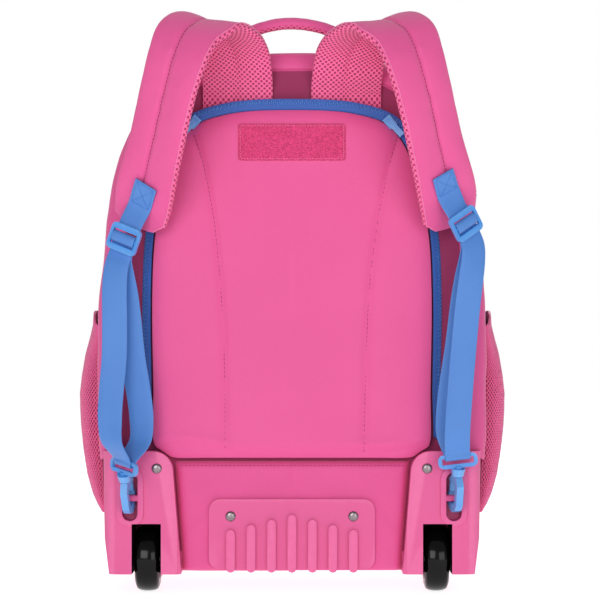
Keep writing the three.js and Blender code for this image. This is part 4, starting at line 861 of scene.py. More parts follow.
# height, then the distance of the sewn line from the middle
SEAM_LEFT = [
    (136, 66.5), (212, 66.7), (266, 68.3), (312, 71.3), (350, 75), (372, 77.4), (398, 82), (427, 88),
    (462, 99),
]
SEAM_RIGHT = [
    (139, 71.5), (182, 72.3), (243, 73.8), (289, 76), (320, 78.4), (344, 81.5), (376, 86), (410, 93),
    (431, 98), (460, 106),
]
PANEL_CROWN, PANEL_MOST, PANEL_LEAST, PANEL_ROLL = 10, 11.2, 0.6, 28
SEAM_DEEP, SEAM_TIGHT, SEAM_SOFT, SEAM_BROAD = 2.3, 2.6, 1.0, 10


def flap_ring(grow, count):
    """The panel's outline, made wider all round by some millimetres."""
    return outline_ring(FLAP_OUTLINE, FLAP_WIDTH / 2 + grow, FLAP_FOOT - grow, FLAP_HEIGHT + 2 * grow, count)


def seam_offset(x, z):
    return x + lookup(SEAM_LEFT, z) if x < 0 else x - lookup(SEAM_RIGHT, z)


def panel_lift(x, z, inset):
    """Height of the panel above its base, in millimetres, before it is held down to PANEL_MOST."""
    t = min(inset / PANEL_ROLL, 1)
    rise = 0.36 + 0.64 * (1 - (1 - t) ** 3.6)
    d = abs(seam_offset(x, z))
    groove = SEAM_DEEP * math.exp(-(d / SEAM_TIGHT) ** 2) + SEAM_SOFT * math.exp(-(d / SEAM_BROAD) ** 2)
    taper = min(max((z - 133) / 12, 0), 1) * min(max((476 - z) / 14, 0), 1)
    spot = (x * MM, 0, z * MM)
    pucker = soft_noise((x * MM * 0.5, 0, z * MM), 9, 4.0) * 0.35 * math.exp(-(d / SEAM_BROAD) ** 2)
    foot = math.exp(-max(z - 137, 0) / 13)
    pleats = soft_noise((x * MM, 0, z * MM * 0.35), 16, 7.0) * 1.5 * foot
    fold = z - 149 - 0.09 * (abs(x) - 60) - 3 * math.sin(x / 21)
    near_corner = math.exp(-((abs(x) - 92) / 40) ** 4)
    sag = (1.5 * math.exp(-(fold / 4) ** 2) - 1.3 * math.exp(-((fold + 8) / 4) ** 2)) * near_corner
    wave = soft_noise(spot, 70, 3.0) * 0.5 + soft_noise(spot, 28, 8.0) * 0.16
    return max(PANEL_CROWN * rise - groove * taper + pucker + pleats + sag + wave * t, PANEL_LEAST)


# %% Panel cloth
PANEL_POINTS = 300
panel_rows = []
panel_insets = [0, 0, 0.4, 1.2, 2.2, 3.4, 5, 7, 9.5, 12, 15, 18, 21, 24, 27]
panel_insets += list(np.arange(30, 132, 2.6)) + [134, 136]
for i, inset in enumerate(panel_insets):
    row = []
    for x, z in flap_ring(-inset, PANEL_POINTS):
        if i:
            lift = panel_lift(x, z, inset)
        else:  # the first row is the hidden edge, which goes back to the wall at the foot
            lift = -7.4 if z < 150 else 0.0
        row.append(tuple(place(x, -STOWAGE_GAP - min(lift, PANEL_MOST), z)))
    panel_rows.append(row)
back_panel = grid_piece(
    "back_panel_pad", panel_rows, PINK_CLOTH, "cloth_pink", closed=(False, True), caps=True
)
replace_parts(back_panel, "back_panel")
print("panel", len(back_panel.data.polygons), "faces")

# %% Stitches of the panel


def panel_point(x, z, above=0.15):
    edge = min(FLAP_WIDTH / 2 - abs(x), z - FLAP_FOOT, FLAP_FOOT + FLAP_HEIGHT - z)
    return tuple(place(x, -STOWAGE_GAP - min(panel_lift(x, z, max(edge, 0)), PANEL_MOST) - above, z))


seam_runs = []
for table, side in ((SEAM_LEFT, -1), (SEAM_RIGHT, 1)):
    seam_runs.append([panel_point(side * lookup(table, z), z) for z in np.arange(139, 458, 2.5)])
stitch_piece("panel_seam_stitches", seam_runs, DEEP_THREAD, "cloth_pink", length=3.2, gap=1.2, thick=0.7)
print("panel seams", len(seam_runs))

# %% [markdown]
# ## Zips
#
# A nylon zip is two woven tapes with a coil sewn along their meeting edges. From a metre away it
# reads as a fine ladder, so each turn of the coil is a small rounded bead of its own.

# %% One zip along a path
ZIP_PITCH, COIL_WIDE, TAPE_THICK = 1.9, 5.0, 1.2
TAPE_PROFILE = [(-1, 0), (-1, 1.0), (-0.97, 1.15), (-0.5, TAPE_THICK), (0, TAPE_THICK)]
TAPE_PROFILE += [(-s, h) for s, h in reversed(TAPE_PROFILE[:-1])]
COIL_TURN = [(-1, 0.45), (-0.7, 1), (0.7, 1), (1, 0.45)]  # place along one turn, and its size there
COIL_SECTION = [(-1, -0.6), (-0.55, 1), (0.55, 1), (1, -0.6)]


def zip_pieces(name, path, across, outward, half_width, coil_at=0, rise=1.0):
    """A tape and a coil. path, across and outward are arrays of points and directions in metres;
    half_width, and coil_at, the coil's place across the tape, are millimetres."""
    tape = []
    for p, a, o in zip(path, across, outward):
        tape.append([p + a * s * half_width * MM + o * h * MM for s, h in TAPE_PROFILE])
    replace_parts(grid_piece(name + "_tape", tape, ZIP_TAPE, "zip_blue", closed=(False, True), caps=True), name)
    steps = distances(path)
    points, faces, uvs = [], [], []
    where, side = ZIP_PITCH * MM, 1
    while where < steps[-1] - ZIP_PITCH * MM:
        here = [[np.interp(where, steps, rows[:, i]) for i in range(3)] for rows in (path, across, outward)]
        p, a, o = np.array(here)
        t = np.cross(a, o)
        centre = p + a * (coil_at + side * 0.75) * MM + o * (TAPE_THICK + 0.3) * MM
        base = len(points)
        for dx, size in COIL_TURN:
            for dt, dz in COIL_SECTION:
                bead = a * dx * COIL_WIDE * 0.36 + (t * dt * 0.62 + o * dz * rise * 0.7) * size
                points.append(centre + bead * MM)
        for k in range(3):
            for s in range(4):
                i, j = base + k * 4 + s, base + k * 4 + (s + 1) % 4
                faces.append((i, j, j + 4, i + 4))
                uvs += [(0, 0), (0.001, 0), (0.001, 0.001), (0, 0.001)]
        faces += [(base + 3, base + 2, base + 1, base), (base + 12, base + 13, base + 14, base + 15)]
        uvs += [(0, 0)] * 8
        where += ZIP_PITCH * MM
        side = -side
    mesh_piece(name + "_coil", points, faces, uvs, COIL_BLUE, "bag", "zip_blue")
    print(name, len(path), "stations")


def upper_run(ring, above):
    """Numbers of a ring's points over a height, in order round it from the lowest point."""
    order = np.argsort((np.arange(len(ring)) - int(np.argmin(ring[:, 1]))) % len(ring))
    return [i for i in order if ring[i, 1] > above]


# %% Zip round the panel
FLAP_LIFTS_AT, FLAP_LIFTS_OVER = 411.8, 62.3  # where the zip starts to part from the wall, and over how much
WALL_GAP, TAPE_FACE, TAPE_MIDDLE = 0.35, 1.25, 1.35
ring_in, ring_out = flap_ring(0.5, 500), flap_ring(11, 500)
path, across = [], []
for i in upper_run(ring_in, 153):
    (x0, z0), (x1, z1) = ring_in[i], ring_out[i]
    opened = min(max((z0 - FLAP_LIFTS_AT) / FLAP_LIFTS_OVER, 0), 1)
    opened = (opened * opened * (3 - 2 * opened)) ** 1.5
    inner = np.array(place(x0, -9.6, z0))
    outer = np.array(place(x1, -WALL_GAP - (PANEL_MOST - WALL_GAP) * opened, z1))
    path.append((inner + outer) / 2)
    across.append(unit(outer - inner))
path, across = np.array(path), np.array(across)
outward = unit(np.cross(across, np.gradient(path, axis=0)))
if outward[len(outward) // 2, 1] > 0:
    outward = -outward
zip_pieces("panel_zip", path[2:-2], across[2:-2], outward[2:-2], 5.6, coil_at=2.2)
print("panel zip", len(path), "stations")

# %% Facing tape of the panel zip, on the wall over the open top
ring_in, ring_out = flap_ring(3.5, 500), flap_ring(10.5, 500)
facing = []
for i in upper_run(ring_in, 469):
    (x0, z0), (x1, z1) = ring_in[i], ring_out[i]
    section = [
        (x0, WALL_GAP, z0), (x0, TAPE_FACE, z0), ((x0 + x1) / 2, TAPE_MIDDLE, (z0 + z1) / 2),
        (x1, TAPE_FACE, z1), (x1, WALL_GAP, z1),
    ]
    facing.append([tuple(place(x, -off, z)) for x, off, z in section])
# The facing tape is darkened to navy: painted shade on the zip's other tape.
wall_tape = grid_piece("panel_zip_facing", facing, SHADED_ZIP_TAPE, "zip_navy", closed=(False, True), caps=True)
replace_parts(wall_tape, "panel_zip_wall_tape")
print("facing tape", len(facing), "stations")

# %% Main zip over the gusset


def gusset_zip(name, near, far, y, above, half_width, lift):
    """A zip along one ring of a gusset, facing the way that a wider ring shows."""
    order = upper_run(near, above)
    path = np.array([place(near[i, 0], y, near[i, 1]) for i in order])
    outward = unit(np.array([(far[i, 0] - near[i, 0], 0, far[i, 1] - near[i, 1]) for i in order]))
    across = np.tile((0, 1.0, 0), (len(order), 1))
    zip_pieces(name, path + outward * lift * MM, across, outward, half_width, rise=1.4)


main_near, main_far = (body_ring(MAIN_ZIP_Y, inset, 600) for inset in (0, -3))
gusset_zip("main_zip", main_near, main_far, MAIN_ZIP_Y, 168, MAIN_ZIP_HALF, 1.9)
print("main zip", len(main_near), "points round")

# %% [markdown]
# ## Front pocket
#
# The photograph doesn't show the front. A plain pocket with its own zip is what such bags have, so it
# is made with the same loft as the body, only shallower and rounder.

# %% Front pocket cloth
POCKET_WIDTH, POCKET_HEIGHT, POCKET_FOOT, POCKET_DEPTH = 296, 286, 48, 45
POCKET_GAP, POCKET_ZIP_AT, POCKET_ZIP_HALF = 0.3, 19, 9
POCKET_CENTRE = Vector((0, REAR + (BODY_DEPTH + 14) * MM, 0.19))
POCKET_OUTLINE = [
    (0, 0), (0.6, 0), (0.86, 0.004), (0.95, 0.04), (0.985, 0.12), (1, 0.4), (0.98, 0.65),
    (0.92, 0.8), (0.8, 0.91), (0.58, 0.975), (0.3, 0.997), (0, 1),
]


def pocket_ring(inset, count):
    half, tall = POCKET_WIDTH / 2 - inset, POCKET_HEIGHT - 2 * inset
    return outline_ring(POCKET_OUTLINE, half, POCKET_FOOT + inset, tall, count)


def pocket_cloth_point(x, z, depth):
    """Point of the pocket's cloth, swollen a little and flat under its zip."""
    p = place(x, BODY_DEPTH + depth, z)
    swell = soft_noise(p, 55, 12.0) * 1.0 + soft_noise(p, 22, 15.0) * 0.35
    if depth >= POCKET_DEPTH:
        return tuple(p + Vector((0, 1, 0)) * (min(swell, 0.6) - 1.0) * MM)
    if abs(depth - POCKET_ZIP_AT) < POCKET_ZIP_HALF:
        swell = min(swell, 0.3) - 1.2
    return tuple(p + (p - POCKET_CENTRE).normalized() * (swell - 0.6) * MM)


# how far the cloth has come forwards, then how far it has drawn in
pocket_profile = [(depth, 0.0) for depth in (POCKET_GAP, 3, 7, 12, 19, 26)]
pocket_profile += [(30, 0.6), (33, 1.8), (36, 3.6), (39, 6.6), (41.5, 10), (43.4, 14), (44.6, 19)]
pocket_profile += [(POCKET_DEPTH, inset) for inset in (26, 34, 44, 56, 70, 86, 104, 120, 134)]
pocket_rows = [
    [pocket_cloth_point(x, z, depth) for x, z in pocket_ring(i, 220)] for depth, i in pocket_profile
]
front_pocket = grid_piece(
    "front_pocket_cloth", pocket_rows, PINK_CLOTH, "cloth_pink", closed=(False, True), caps=True
)
apply_modifier(front_pocket, "SOLIDIFY", thickness=2.0 * MM, offset=-1)
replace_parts(front_pocket, "front_pocket")
print("front pocket", len(front_pocket.data.polygons), "faces")

# %% Front pocket zip
pocket_zip_y = BODY_DEPTH + POCKET_GAP + POCKET_ZIP_AT
pocket_near, pocket_far = pocket_ring(0.2, 500), pocket_ring(-2.8, 500)
gusset_zip("front_pocket_zip", pocket_near, pocket_far, pocket_zip_y, 210, POCKET_ZIP_HALF, 1.7)
print("pocket zip", len(pocket_near), "points round")

# %% [markdown]
# ## Lower back
#
# Below the panel the back is covered by plain cloth, stretched between the two wheel housings. It is
# sewn to the panel's foot, so small drag lines run down from that seam and in from the corners.

# %% Base cover
COVER_HALF, COVER_FLARE, COVER_FOOT, COVER_FACE = 108.7, 8 / 102, 20, 11.6
# height, then how far the cloth stands off the wall
cover_profile = [(22.2, 0.4), (22.4, 6), (23.2, 9.5), (25, 11.2)]
cover_profile += [(z, COVER_FACE) for z in np.linspace(28, 124, 40)]
cover_profile += [(127, 11.0), (129, 9.6), (130.6, 7), (131.3, 4), (131.4, 0.4)]


def cover_point(across, z, deep):
    half = COVER_HALF + COVER_FLARE * (z - COVER_FOOT)
    edge = 1 - math.exp(-(1 - abs(across)) * half / 3.2)
    x = across * half
    lean = 1 if x > 0 else -1
    drag = soft_noise(((x + z * 0.5 * lean) * MM, 0, z * MM * 0.5), 26, 21.0) * 0.9
    corner = math.exp(-((abs(x) - 100) / 22) ** 2) * math.exp(-((z - 60) / 46) ** 2)
    crease = math.sin((abs(x) * 0.8 + z) / 5.2) * 0.35 * corner
    gather = soft_noise((x * MM, 0, z * MM * 0.3), 9, 23.0) * 0.45 * math.exp(-max(126 - z, 0) / 10)
    lift = deep * (0.12 + 0.88 * edge) + (drag + crease + gather) * edge * (deep > 9)
    return tuple(place(x, -min(max(lift, 0.35), 12.0), z))


cover_grid = [
    [cover_point(across, z, deep) for across in np.linspace(-1, 1, 120)] for z, deep in cover_profile
]
base_cover = grid_piece("base_cover_cloth", cover_grid, DEEP_CLOTH, "cloth_shade")
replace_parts(base_cover, "base_cover")
hem_run = [tuple(place(x, -12.3, 127.2)) for x in np.linspace(-112, 112, 140)]
stitch_piece("base_cover_stitches", [hem_run], DEEP_THREAD, "cloth_pink", length=2.8, gap=1.2, thick=0.6)
print("base cover", len(base_cover.data.polygons), "faces")

# %% Loop-tape patch
PATCH_HALF, PATCH_TALL, PATCH_MID, PATCH_CORNER = 53.5, 18.5, 448.5, 4
PATCH_BACK, PATCH_THICK, PATCH_SEWN = 18.15, 1.25, 2.2  # PATCH_SEWN is how far in the stitches run


def patch_point(u, v):
    """Point of the pile at shares u and v of the half width and half height."""
    x, z = u * PATCH_HALF, PATCH_MID + v * PATCH_TALL
    past_x = max(abs(u) * PATCH_HALF - (PATCH_HALF - PATCH_CORNER), 0)
    past_z = max(abs(v) * PATCH_TALL - (PATCH_TALL - PATCH_CORNER), 0)
    over = math.hypot(past_x, past_z)
    if over > PATCH_CORNER:
        x -= math.copysign(past_x * (1 - PATCH_CORNER / over), u)
        z -= math.copysign(past_z * (1 - PATCH_CORNER / over), v)
    rim = min(PATCH_HALF - abs(x), PATCH_TALL - abs(z - PATCH_MID))
    p = place(x, 0, z)
    fuzz = soft_noise(p, 1.6, 31.0) * 0.22 + soft_noise(p, 3.6, 33.0) * 0.18
    sewn = 0.55 * math.exp(-((rim - PATCH_SEWN) / 0.8) ** 2)
    lift = PATCH_THICK * min(rim / 0.8, 1) + fuzz - sewn if rim > 0.05 else 0.15
    return tuple(place(x, -PATCH_BACK - max(lift, 0.1), z))


patch_grid = [[patch_point(u, v) for u in np.linspace(-1, 1, 150)] for v in np.linspace(-1, 1, 56)]
patch = grid_piece("panel_patch_pile", patch_grid, LOOP_TAPE, "loop_tape_pink")
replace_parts(patch, "panel_patch")
rim_x, rim_z = PATCH_HALF - PATCH_SEWN, PATCH_TALL - PATCH_SEWN
rim_loop = [(-rim_x, -rim_z), (rim_x, -rim_z), (rim_x, rim_z), (-rim_x, rim_z), (-rim_x, -rim_z)]
rim_run = even(np.array([tuple(place(x, -PATCH_BACK - 1.05, PATCH_MID + z)) for x, z in rim_loop]), 300)
stitch_piece("panel_patch_stitches", [rim_run], PINK_THREAD, "cloth_pink", length=2.0, gap=0.8, thick=0.45)
print("patch", len(patch.data.polygons), "faces")

# %% [markdown]
# ## Shoulder straps
#
# Each strap starts under the flap with its net-like underside towards us, rises, turns over and comes
# down in front with its smooth face out. Two foam channels meet in a sewn seam, and a row of stitches
# runs along one long edge.

# %% Route of a strap
# shares of the shoulder half width, of the reach towards the wearer and of the ridge's height, then
# of the strap's width and thickness, two angles in degrees and the share of the hang
STRAP_ROUTE = [
    (0.28, 0.036, 0.812, 1, 0.42, 0, 0, 0), (0.28, 0.055, 0.862, 1, 0.42, 0, 0, 0),
    (0.28, 0.07, 0.882, 1, 0.46, 0, 0, 0), (0.283, 0.17, 0.91, 1, 0.8, 2, 2, 0.1),
    (0.297, 0.3, 0.944, 1, 1, 6, 6, 0.2), (0.33, 0.47, 0.968, 1, 1, 10, 11, 0.4),
    (0.42, 0.69, 0.985, 1, 1, 14, 14, 0.7), (0.51, 0.88, 0.969, 0.98, 1, 22, 14, 1),
    (0.562, 0.98, 0.931, 0.95, 1, 28, 13, 1), (0.605, 0.97, 0.883, 0.93, 1, 32, 12, 1),
    (0.645, 0.88, 0.83, 0.92, 1, 34, 11, 1), (0.682, 0.76, 0.779, 0.91, 1, 33, 11, 1),
    (0.727, 0.6, 0.724, 0.91, 1, 28, 12, 1), (0.756, 0.43, 0.686, 0.9, 0.9, 24, 13, 1),
    (0.775, 0.32, 0.656, 0.82, 0.7, 22, 13, 0.7), (0.785, 0.28, 0.64, 0.5, 0.5, 22, 14, 0.6),
]


def turned_across(turn, rise):
    """Direction across a band that is turned round z and tilted up, both in degrees."""
    turn, rise = math.radians(turn), math.radians(rise)
    return np.array((math.cos(turn) * math.cos(rise), math.sin(turn) * math.cos(rise), math.sin(rise)))


def band_frames(at, across, wide, thick, per_span, closed=False):
    """Centre, across, outwards, width and thickness along a band's stations, all in millimetres."""
    centre = spline(at, per_span, closed)
    count = len(at)
    steps = np.arange(len(centre)) / per_span
    here = np.minimum(np.floor(steps).astype(int), count - 1)
    there = (here + 1) % count if closed else np.minimum(here + 1, count - 1)

    def between(values):
        values = np.asarray(values, float)
        part = (steps - here).reshape((-1,) + (1,) * (values.ndim - 1))
        return values[here] * (1 - part) + values[there] * part

    run = np.roll(centre, -1, 0) - np.roll(centre, 1, 0) if closed else np.gradient(centre, axis=0)
    run, direction = unit(run), between(across)
    direction = unit(direction - run * (direction * run).sum(axis=1, keepdims=True))
    return centre, direction, np.cross(run, direction), between(wide), between(thick)


def strap_frames(hang):
    at = [(o * STRAP_LINE + hang * f, -b * STRAP_REACH, u * STRAP_RISE) for o, b, u, *_, f in STRAP_ROUTE]
    across = [turned_across(turn, drop) for *_, turn, drop, _ in STRAP_ROUTE]
    wide = [row[3] * STRAP_WIDTH for row in STRAP_ROUTE]
    thick = [row[4] * STRAP_THICK for row in STRAP_ROUTE]
    return band_frames(at, across, wide, thick, 14)


def to_frame(points, sign):
    """Millimetre points of the right side, moved into the frame and mirrored for the left."""
    points = np.array(points, float)
    points[..., 0] *= sign
    return points * MM + np.array((0, REAR, 0))


print("strap stations", len(strap_frames(0)[0]))


# %% Section of a strap
STRAP_COLUMNS = 34
SEAM_AT, SIDE_POWER, SWELL_POWER = 0.1, 0.62, 0.6
MESH_TURNS_IN = 0.36  # how far round the edge the mesh face comes, in radians


def angle_at(side):
    """Angle of the strap's section where its smooth face is this share across."""
    return math.acos(math.copysign(abs(side) ** (1 / SIDE_POWER), side))


front_angles = [angle_at(math.cos(t)) for t in np.linspace(0, math.pi, STRAP_COLUMNS, endpoint=False)]
angles = front_angles + [a + math.pi for a in front_angles]


def strap_profile(a):
    """Across and outward shares of the strap's section at an angle. Outward is the smooth face."""
    side = math.copysign(abs(math.cos(a)) ** SIDE_POWER, math.cos(a))
    swell = abs(math.sin(a)) ** SWELL_POWER
    if math.sin(a) >= 0:
        off = side - SEAM_AT
        return side, swell * (1 - 0.52 * math.exp(-(off / 0.06) ** 2) - 0.2 * math.exp(-(off / 0.32) ** 2))
    dent = 0.5 * math.exp(-(side / 0.07) ** 2) + 0.3 * math.exp(-(side / 0.4) ** 2)
    return side, -0.9 * swell * (1 - dent)


print("thickness at the seam", round(strap_profile(angle_at(SEAM_AT))[1], 3))


# %% Strap cloth, edge cords and seams
for name, sign, hang in (("left", -1, 0), ("right", 1, 8)):
    centre, across, outwards, wide, thick = strap_frames(hang)
    rows, cord_edge, seam = [], [], []
    for k in range(len(centre)):
        end = math.exp(-((k - 0.9 * len(centre)) / (0.06 * len(centre))) ** 2)

        def strap_point(a):
            """Point of this station's section, with dents, puckers at the seam and a rumpled end."""
            side, face = strap_profile(a)
            p = centre[k] + across[k] * side * wide[k] / 2 + outwards[k] * face * thick[k] / 2
            x, y, z = p * MM
            dents = soft_noise((x * sign, y, z * 0.7), 30, 41.0 + sign) * 0.8
            dents += soft_noise((x, y, z), 12, 43.0) * 0.25
            puckers = soft_noise((x * 0.3, y, z), 9, 47.0) * 0.9 * math.exp(-((side - SEAM_AT) / 0.22) ** 2)
            rumples = soft_noise((x, y, z), 13, 49.0) * 1.1 * end
            share = (0.2 + abs(math.sin(a))) * min(thick[k] / STRAP_THICK, 1)
            return p + outwards[k] * (dents + puckers + rumples) * share

        rows.append([strap_point(a) for a in angles])
        aside = (0.93 + 0.012 * (k % 2)) * wide[k] / 2
        cord_edge.append(centre[k] - across[k] * aside + outwards[k] * (0.31 * thick[k] + 0.3))
        seam.append(strap_point(angle_at(SEAM_AT)) + outwards[k] * 0.3)
    strap = grid_piece(
        f"shoulder_strap_{name}_pad", to_frame(rows, sign), [PINK_CLOTH, SPACER_MESH], "cloth_pink",
        closed=(False, True), caps=True, pick=lambda r, c: 0 if angles[c] < math.pi - MESH_TURNS_IN else 1,
    )
    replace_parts(strap, f"shoulder_strap_{name}")
    cord = even(to_frame(cord_edge[20:], sign), 420)
    cord[::2] += np.array((0.5 * MM, 0, 0.2 * MM))
    stitch_piece(
        f"strap_{name}_edge_stitches", [cord], PINK_THREAD, "cloth_pink", length=2.2, gap=0.5, thick=1.2
    )
    seam_run = to_frame(seam[60:], sign)
    stitch_piece(
        f"strap_{name}_seam_stitches", [seam_run], DEEP_THREAD, "cloth_pink", length=2.8, gap=1.1, thick=0.7
    )
print("straps", len(strap.data.polygons), "faces each")

# %% [markdown]
# ## Webbing, adjusters and hooks
#
# The band leaves the tri-glide, runs down, goes through the hook's ring and comes back up. It is one
# long loop, and the route below follows each bar it goes round.

# %% Places of the hardware
WEB_WIDE, WEB_THICK = 25, 1.5
ADJUSTER_TALL, ADJUSTER_THICK, ADJUSTER_BAR, ADJUSTER_WINDOW = 27, 3.6, 3.6, 15
EYE_BAR, EYE_THICK, EYE_HOLE, EYE_NECK, FIT = 4, 3.6, 6, 8, 0.3
HOOK_WIDE, HOOK_HIGH, HOOK_AT = 28, 36, (160.5, -20.6, 95.5)
# tab: its twist, then places along and across the strap. adjuster: out, back, up, lean and turn.
# hook: its turn and pitch, then the eye's turn and roll. loop: how far the two runs spread and bow out.
SIDES = {
    "left": dict(
        sign=-1, hang=0, tab=(3, ((0.808, -3), (0.845, -1.5), (0.88, 0))),
        adjuster=(164.7, 44, 352, 21, 22), hook=(12, 30, 46, 10), loop=(11, 14.5, 9, 6),
    ),
    "right": dict(
        sign=1, hang=8, tab=(7, ((0.785, -4), (0.81, -3), (0.835, -2))),
        adjuster=(170.2, 50, 366.8, 31, 30), hook=(15, 14, 2, 6.5), loop=(-2, 10, 8, 5),
    ),
}


def turned(degrees, axis):
    return Matrix.Rotation(math.radians(degrees), 4, axis)


def adjuster_matrix(side):
    out, back, up, lean, turn = side["adjuster"]
    return Matrix.Translation((out, -back, up)) @ turned(turn, "Z") @ turned(-lean, "Y")


def hook_matrix(side):
    turn, pitch, _, _ = side["hook"]
    return Matrix.Translation(HOOK_AT) @ turned(turn, "Z") @ turned(pitch, "X")


def eye_matrix(side):
    _, _, turn, roll = side["hook"]
    above = Vector((0, -0.21 * HOOK_WIDE, 0.69 * HOOK_HIGH + FIT + EYE_NECK + EYE_BAR * 0.6))
    return Matrix.Translation(hook_matrix(side) @ above) @ turned(turn, "Z") @ turned(-roll, "Y")


def stations_round(matrix, rows):
    """Stations of a band that lies across a turned bar, from its (y, z) places there."""
    direction = np.array((matrix.to_3x3() @ Vector((1, 0, 0))).normalized())
    return [(np.array(matrix @ Vector((0, y, z))), direction) for y, z in rows]


print("hook at", HOOK_AT)


# %% Route of a webbing loop
HALF_WEB, WRAP = WEB_THICK / 2, 0.45
# share of the way down, of the spread, of the bow, and of the adjuster's and the eye's angles
LOOP_RUN = [
    (0.05, 0.1, 0.3, 0.85, 0), (0.11, 0.22, 0.5, 0.65, 0), (0.19, 0.34, 0.66, 0.4, 0.02),
    (0.3, 0.42, 0.7, 0.2, 0.05), (0.5, 0.56, 0.75, 0.1, 0.1), (0.66, 0.84, 0.9, 0.05, 0.2),
    (0.8, 1, 1, 0, 0.35), (0.91, 0.86, 0.86, 0, 0.65),
]
BAR_REACH = ADJUSTER_THICK / 2 + WRAP + HALF_WEB


def over_adjuster():
    """(y, z) places where the band goes through the adjuster and round its middle bar."""
    bar, frame_half, tall = ADJUSTER_BAR / 2, ADJUSTER_WINDOW / 2, ADJUSTER_TALL / 2
    layer = BAR_REACH + WEB_THICK + WRAP
    return [
        (layer + 0.4, -tall - 3), (layer, -frame_half), (layer - 0.4, 0), (BAR_REACH, bar + 2),
        (0, bar + 3.1), (-BAR_REACH * 0.86, bar + 1.5), (-BAR_REACH - 0.1, 0),
        (-BAR_REACH * 0.8, -bar - 1.4), (0, -bar - 2.8), (BAR_REACH * 0.78, -frame_half + 1),
        (BAR_REACH + 0.1, -frame_half - 2.6), (BAR_REACH + 0.2, -tall - 3),
    ]


def under_eye():
    """(y, z) places where the band goes under the hook's ring."""
    eye_top = EYE_BAR + EYE_HOLE
    clear = EYE_THICK / 2 + HALF_WEB + 0.9
    coming = [(clear, eye_top + 2), (clear, eye_top - 1.2), (clear * 0.76, eye_top - 3.2)]
    return [(-y, z) for y, z in coming] + [(0, eye_top - 3.7)] + coming[::-1]


def loop_stations(side):
    upper, lower = adjuster_matrix(side), eye_matrix(side)
    over, under = stations_round(upper, over_adjuster()), stations_round(lower, under_eye())
    leaving = np.array(upper.to_3x3() @ Vector((0, 0, -1)))
    _, _, _, lean, turn = side["adjuster"]
    _, _, eye_turn, eye_roll = side["hook"]

    def run(start, stop, spread, out):
        """Stations between the two, leaving in line with the adjuster."""
        chord = stop - start
        bend = leaving * np.linalg.norm(chord) - chord
        made = []
        for down, bow, part, upper_share, lower_share in LOOP_RUN:
            at = start + chord * down + bend * down * math.exp(-down / 0.1)
            at = at + np.array((spread * bow, out * part, 0))
            yaw = upper_share * turn + lower_share * eye_turn
            tilt = upper_share * lean + lower_share * eye_roll
            made.append((at, turned_across(yaw, tilt)))
        return made

    front_spread, rear_spread, front_out, rear_in = side["loop"]
    front = run(over[-1][0], under[0][0], front_spread, -front_out)
    rear = run(over[0][0], under[-1][0], -rear_spread, rear_in)[::-1]
    return over + front + under + rear


print("loop stations", len(loop_stations(SIDES["left"])))
# %% Webbing loops
WEB_FACE = [
    (-1, -0.3), (-0.985, -0.8), (-0.95, -1), (-0.5, -1), (0, -1), (0.5, -1), (0.95, -1), (0.985, -0.8),
]
WEB_PROFILE = WEB_FACE + [(1, -0.3)] + [(-s, -f) for s, f in WEB_FACE] + [(-1, 0.3)]


def webbing_piece(name, side, stations, per_span, closed):
    """A band of webbing through its stations. Gives the frames along it."""
    at, across = zip(*stations)
    frames = band_frames(at, across, [WEB_WIDE] * len(at), [WEB_THICK] * len(at), per_span, closed)
    rows = []
    for c, a, o, w, t in zip(*frames):
        rows.append([c + a * s * w / 2 + o * f * t / 2 for s, f in WEB_PROFILE])
    band = grid_piece(
        name + "_band", to_frame(rows, side["sign"]), BLUE_WEBBING, "webbing_blue",
        closed=(closed, True), caps=not closed,
    )
    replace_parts(band, name)
    print(name, len(band.data.polygons), "faces")
    return frames


for name, side in SIDES.items():
    webbing_piece(f"webbing_loop_{name}", side, loop_stations(side), 9, closed=True)

# %% Webbing tabs, sewn to the straps
TAB_LIFT = 0.6 + HALF_WEB
LOW, HIGH, WIDE = 0.06, 0.95, 0.8  # shares of the sewn length and of the half width
BOX_X = [
    ((-WIDE, LOW), (WIDE, LOW), (WIDE, HIGH), (-WIDE, HIGH), (-WIDE, LOW)),
    ((-WIDE, LOW), (WIDE, HIGH)),
    ((WIDE, LOW), (-WIDE, HIGH)),
]
for name, side in SIDES.items():
    centre, across, outwards, _, thick = strap_frames(side["hang"])
    stations = []
    twist, seats = side["tab"]
    for share, shift in seats:
        k = int(round(share * (len(centre) - 1)))
        turned_on_strap = Matrix.Rotation(math.radians(twist), 3, Vector(outwards[k])) @ Vector(across[k])
        at = centre[k] + outwards[k] * (thick[k] / 2 + TAB_LIFT) + across[k] * shift
        stations.append((at, np.array(turned_on_strap)))
    into_adjuster = [
        (BAR_REACH + 1.2, ADJUSTER_TALL / 2 + 5), (BAR_REACH + 0.2, ADJUSTER_TALL / 2 - 1),
        (BAR_REACH, ADJUSTER_WINDOW / 2 + 0.5),
    ]
    stations += stations_round(adjuster_matrix(side), into_adjuster)
    c, a, o, _, _ = webbing_piece(f"webbing_tab_{name}", side, stations, 14, closed=False)
    sewn_length = len(c) * 2 // 5
    box_x = []
    for line in BOX_X:
        run = []
        for s, v in even(np.array(line, float), 60):
            i = min(int(v * sewn_length), len(c) - 2)
            f = v * sewn_length - i
            run.append(c[i] * (1 - f) + c[i + 1] * f + a[i] * s * WEB_WIDE / 2 + o[i] * (HALF_WEB + 0.15))
        box_x.append(to_frame(run, side["sign"]))
    stitch_piece(
        f"webbing_tab_{name}_stitches", box_x, BLUE_THREAD, "webbing_blue", length=1.9, gap=0.7, thick=0.5
    )
print("webbing tabs sewn")

# %% [markdown]
# ## Side pockets
#
# The net is a spacer fabric: big meshes outside and a fine knit behind them. The big meshes are real
# threads, crossed on a bulged form, and the knit is a sheet just inside. A broad elastic gathers the
# mouth.

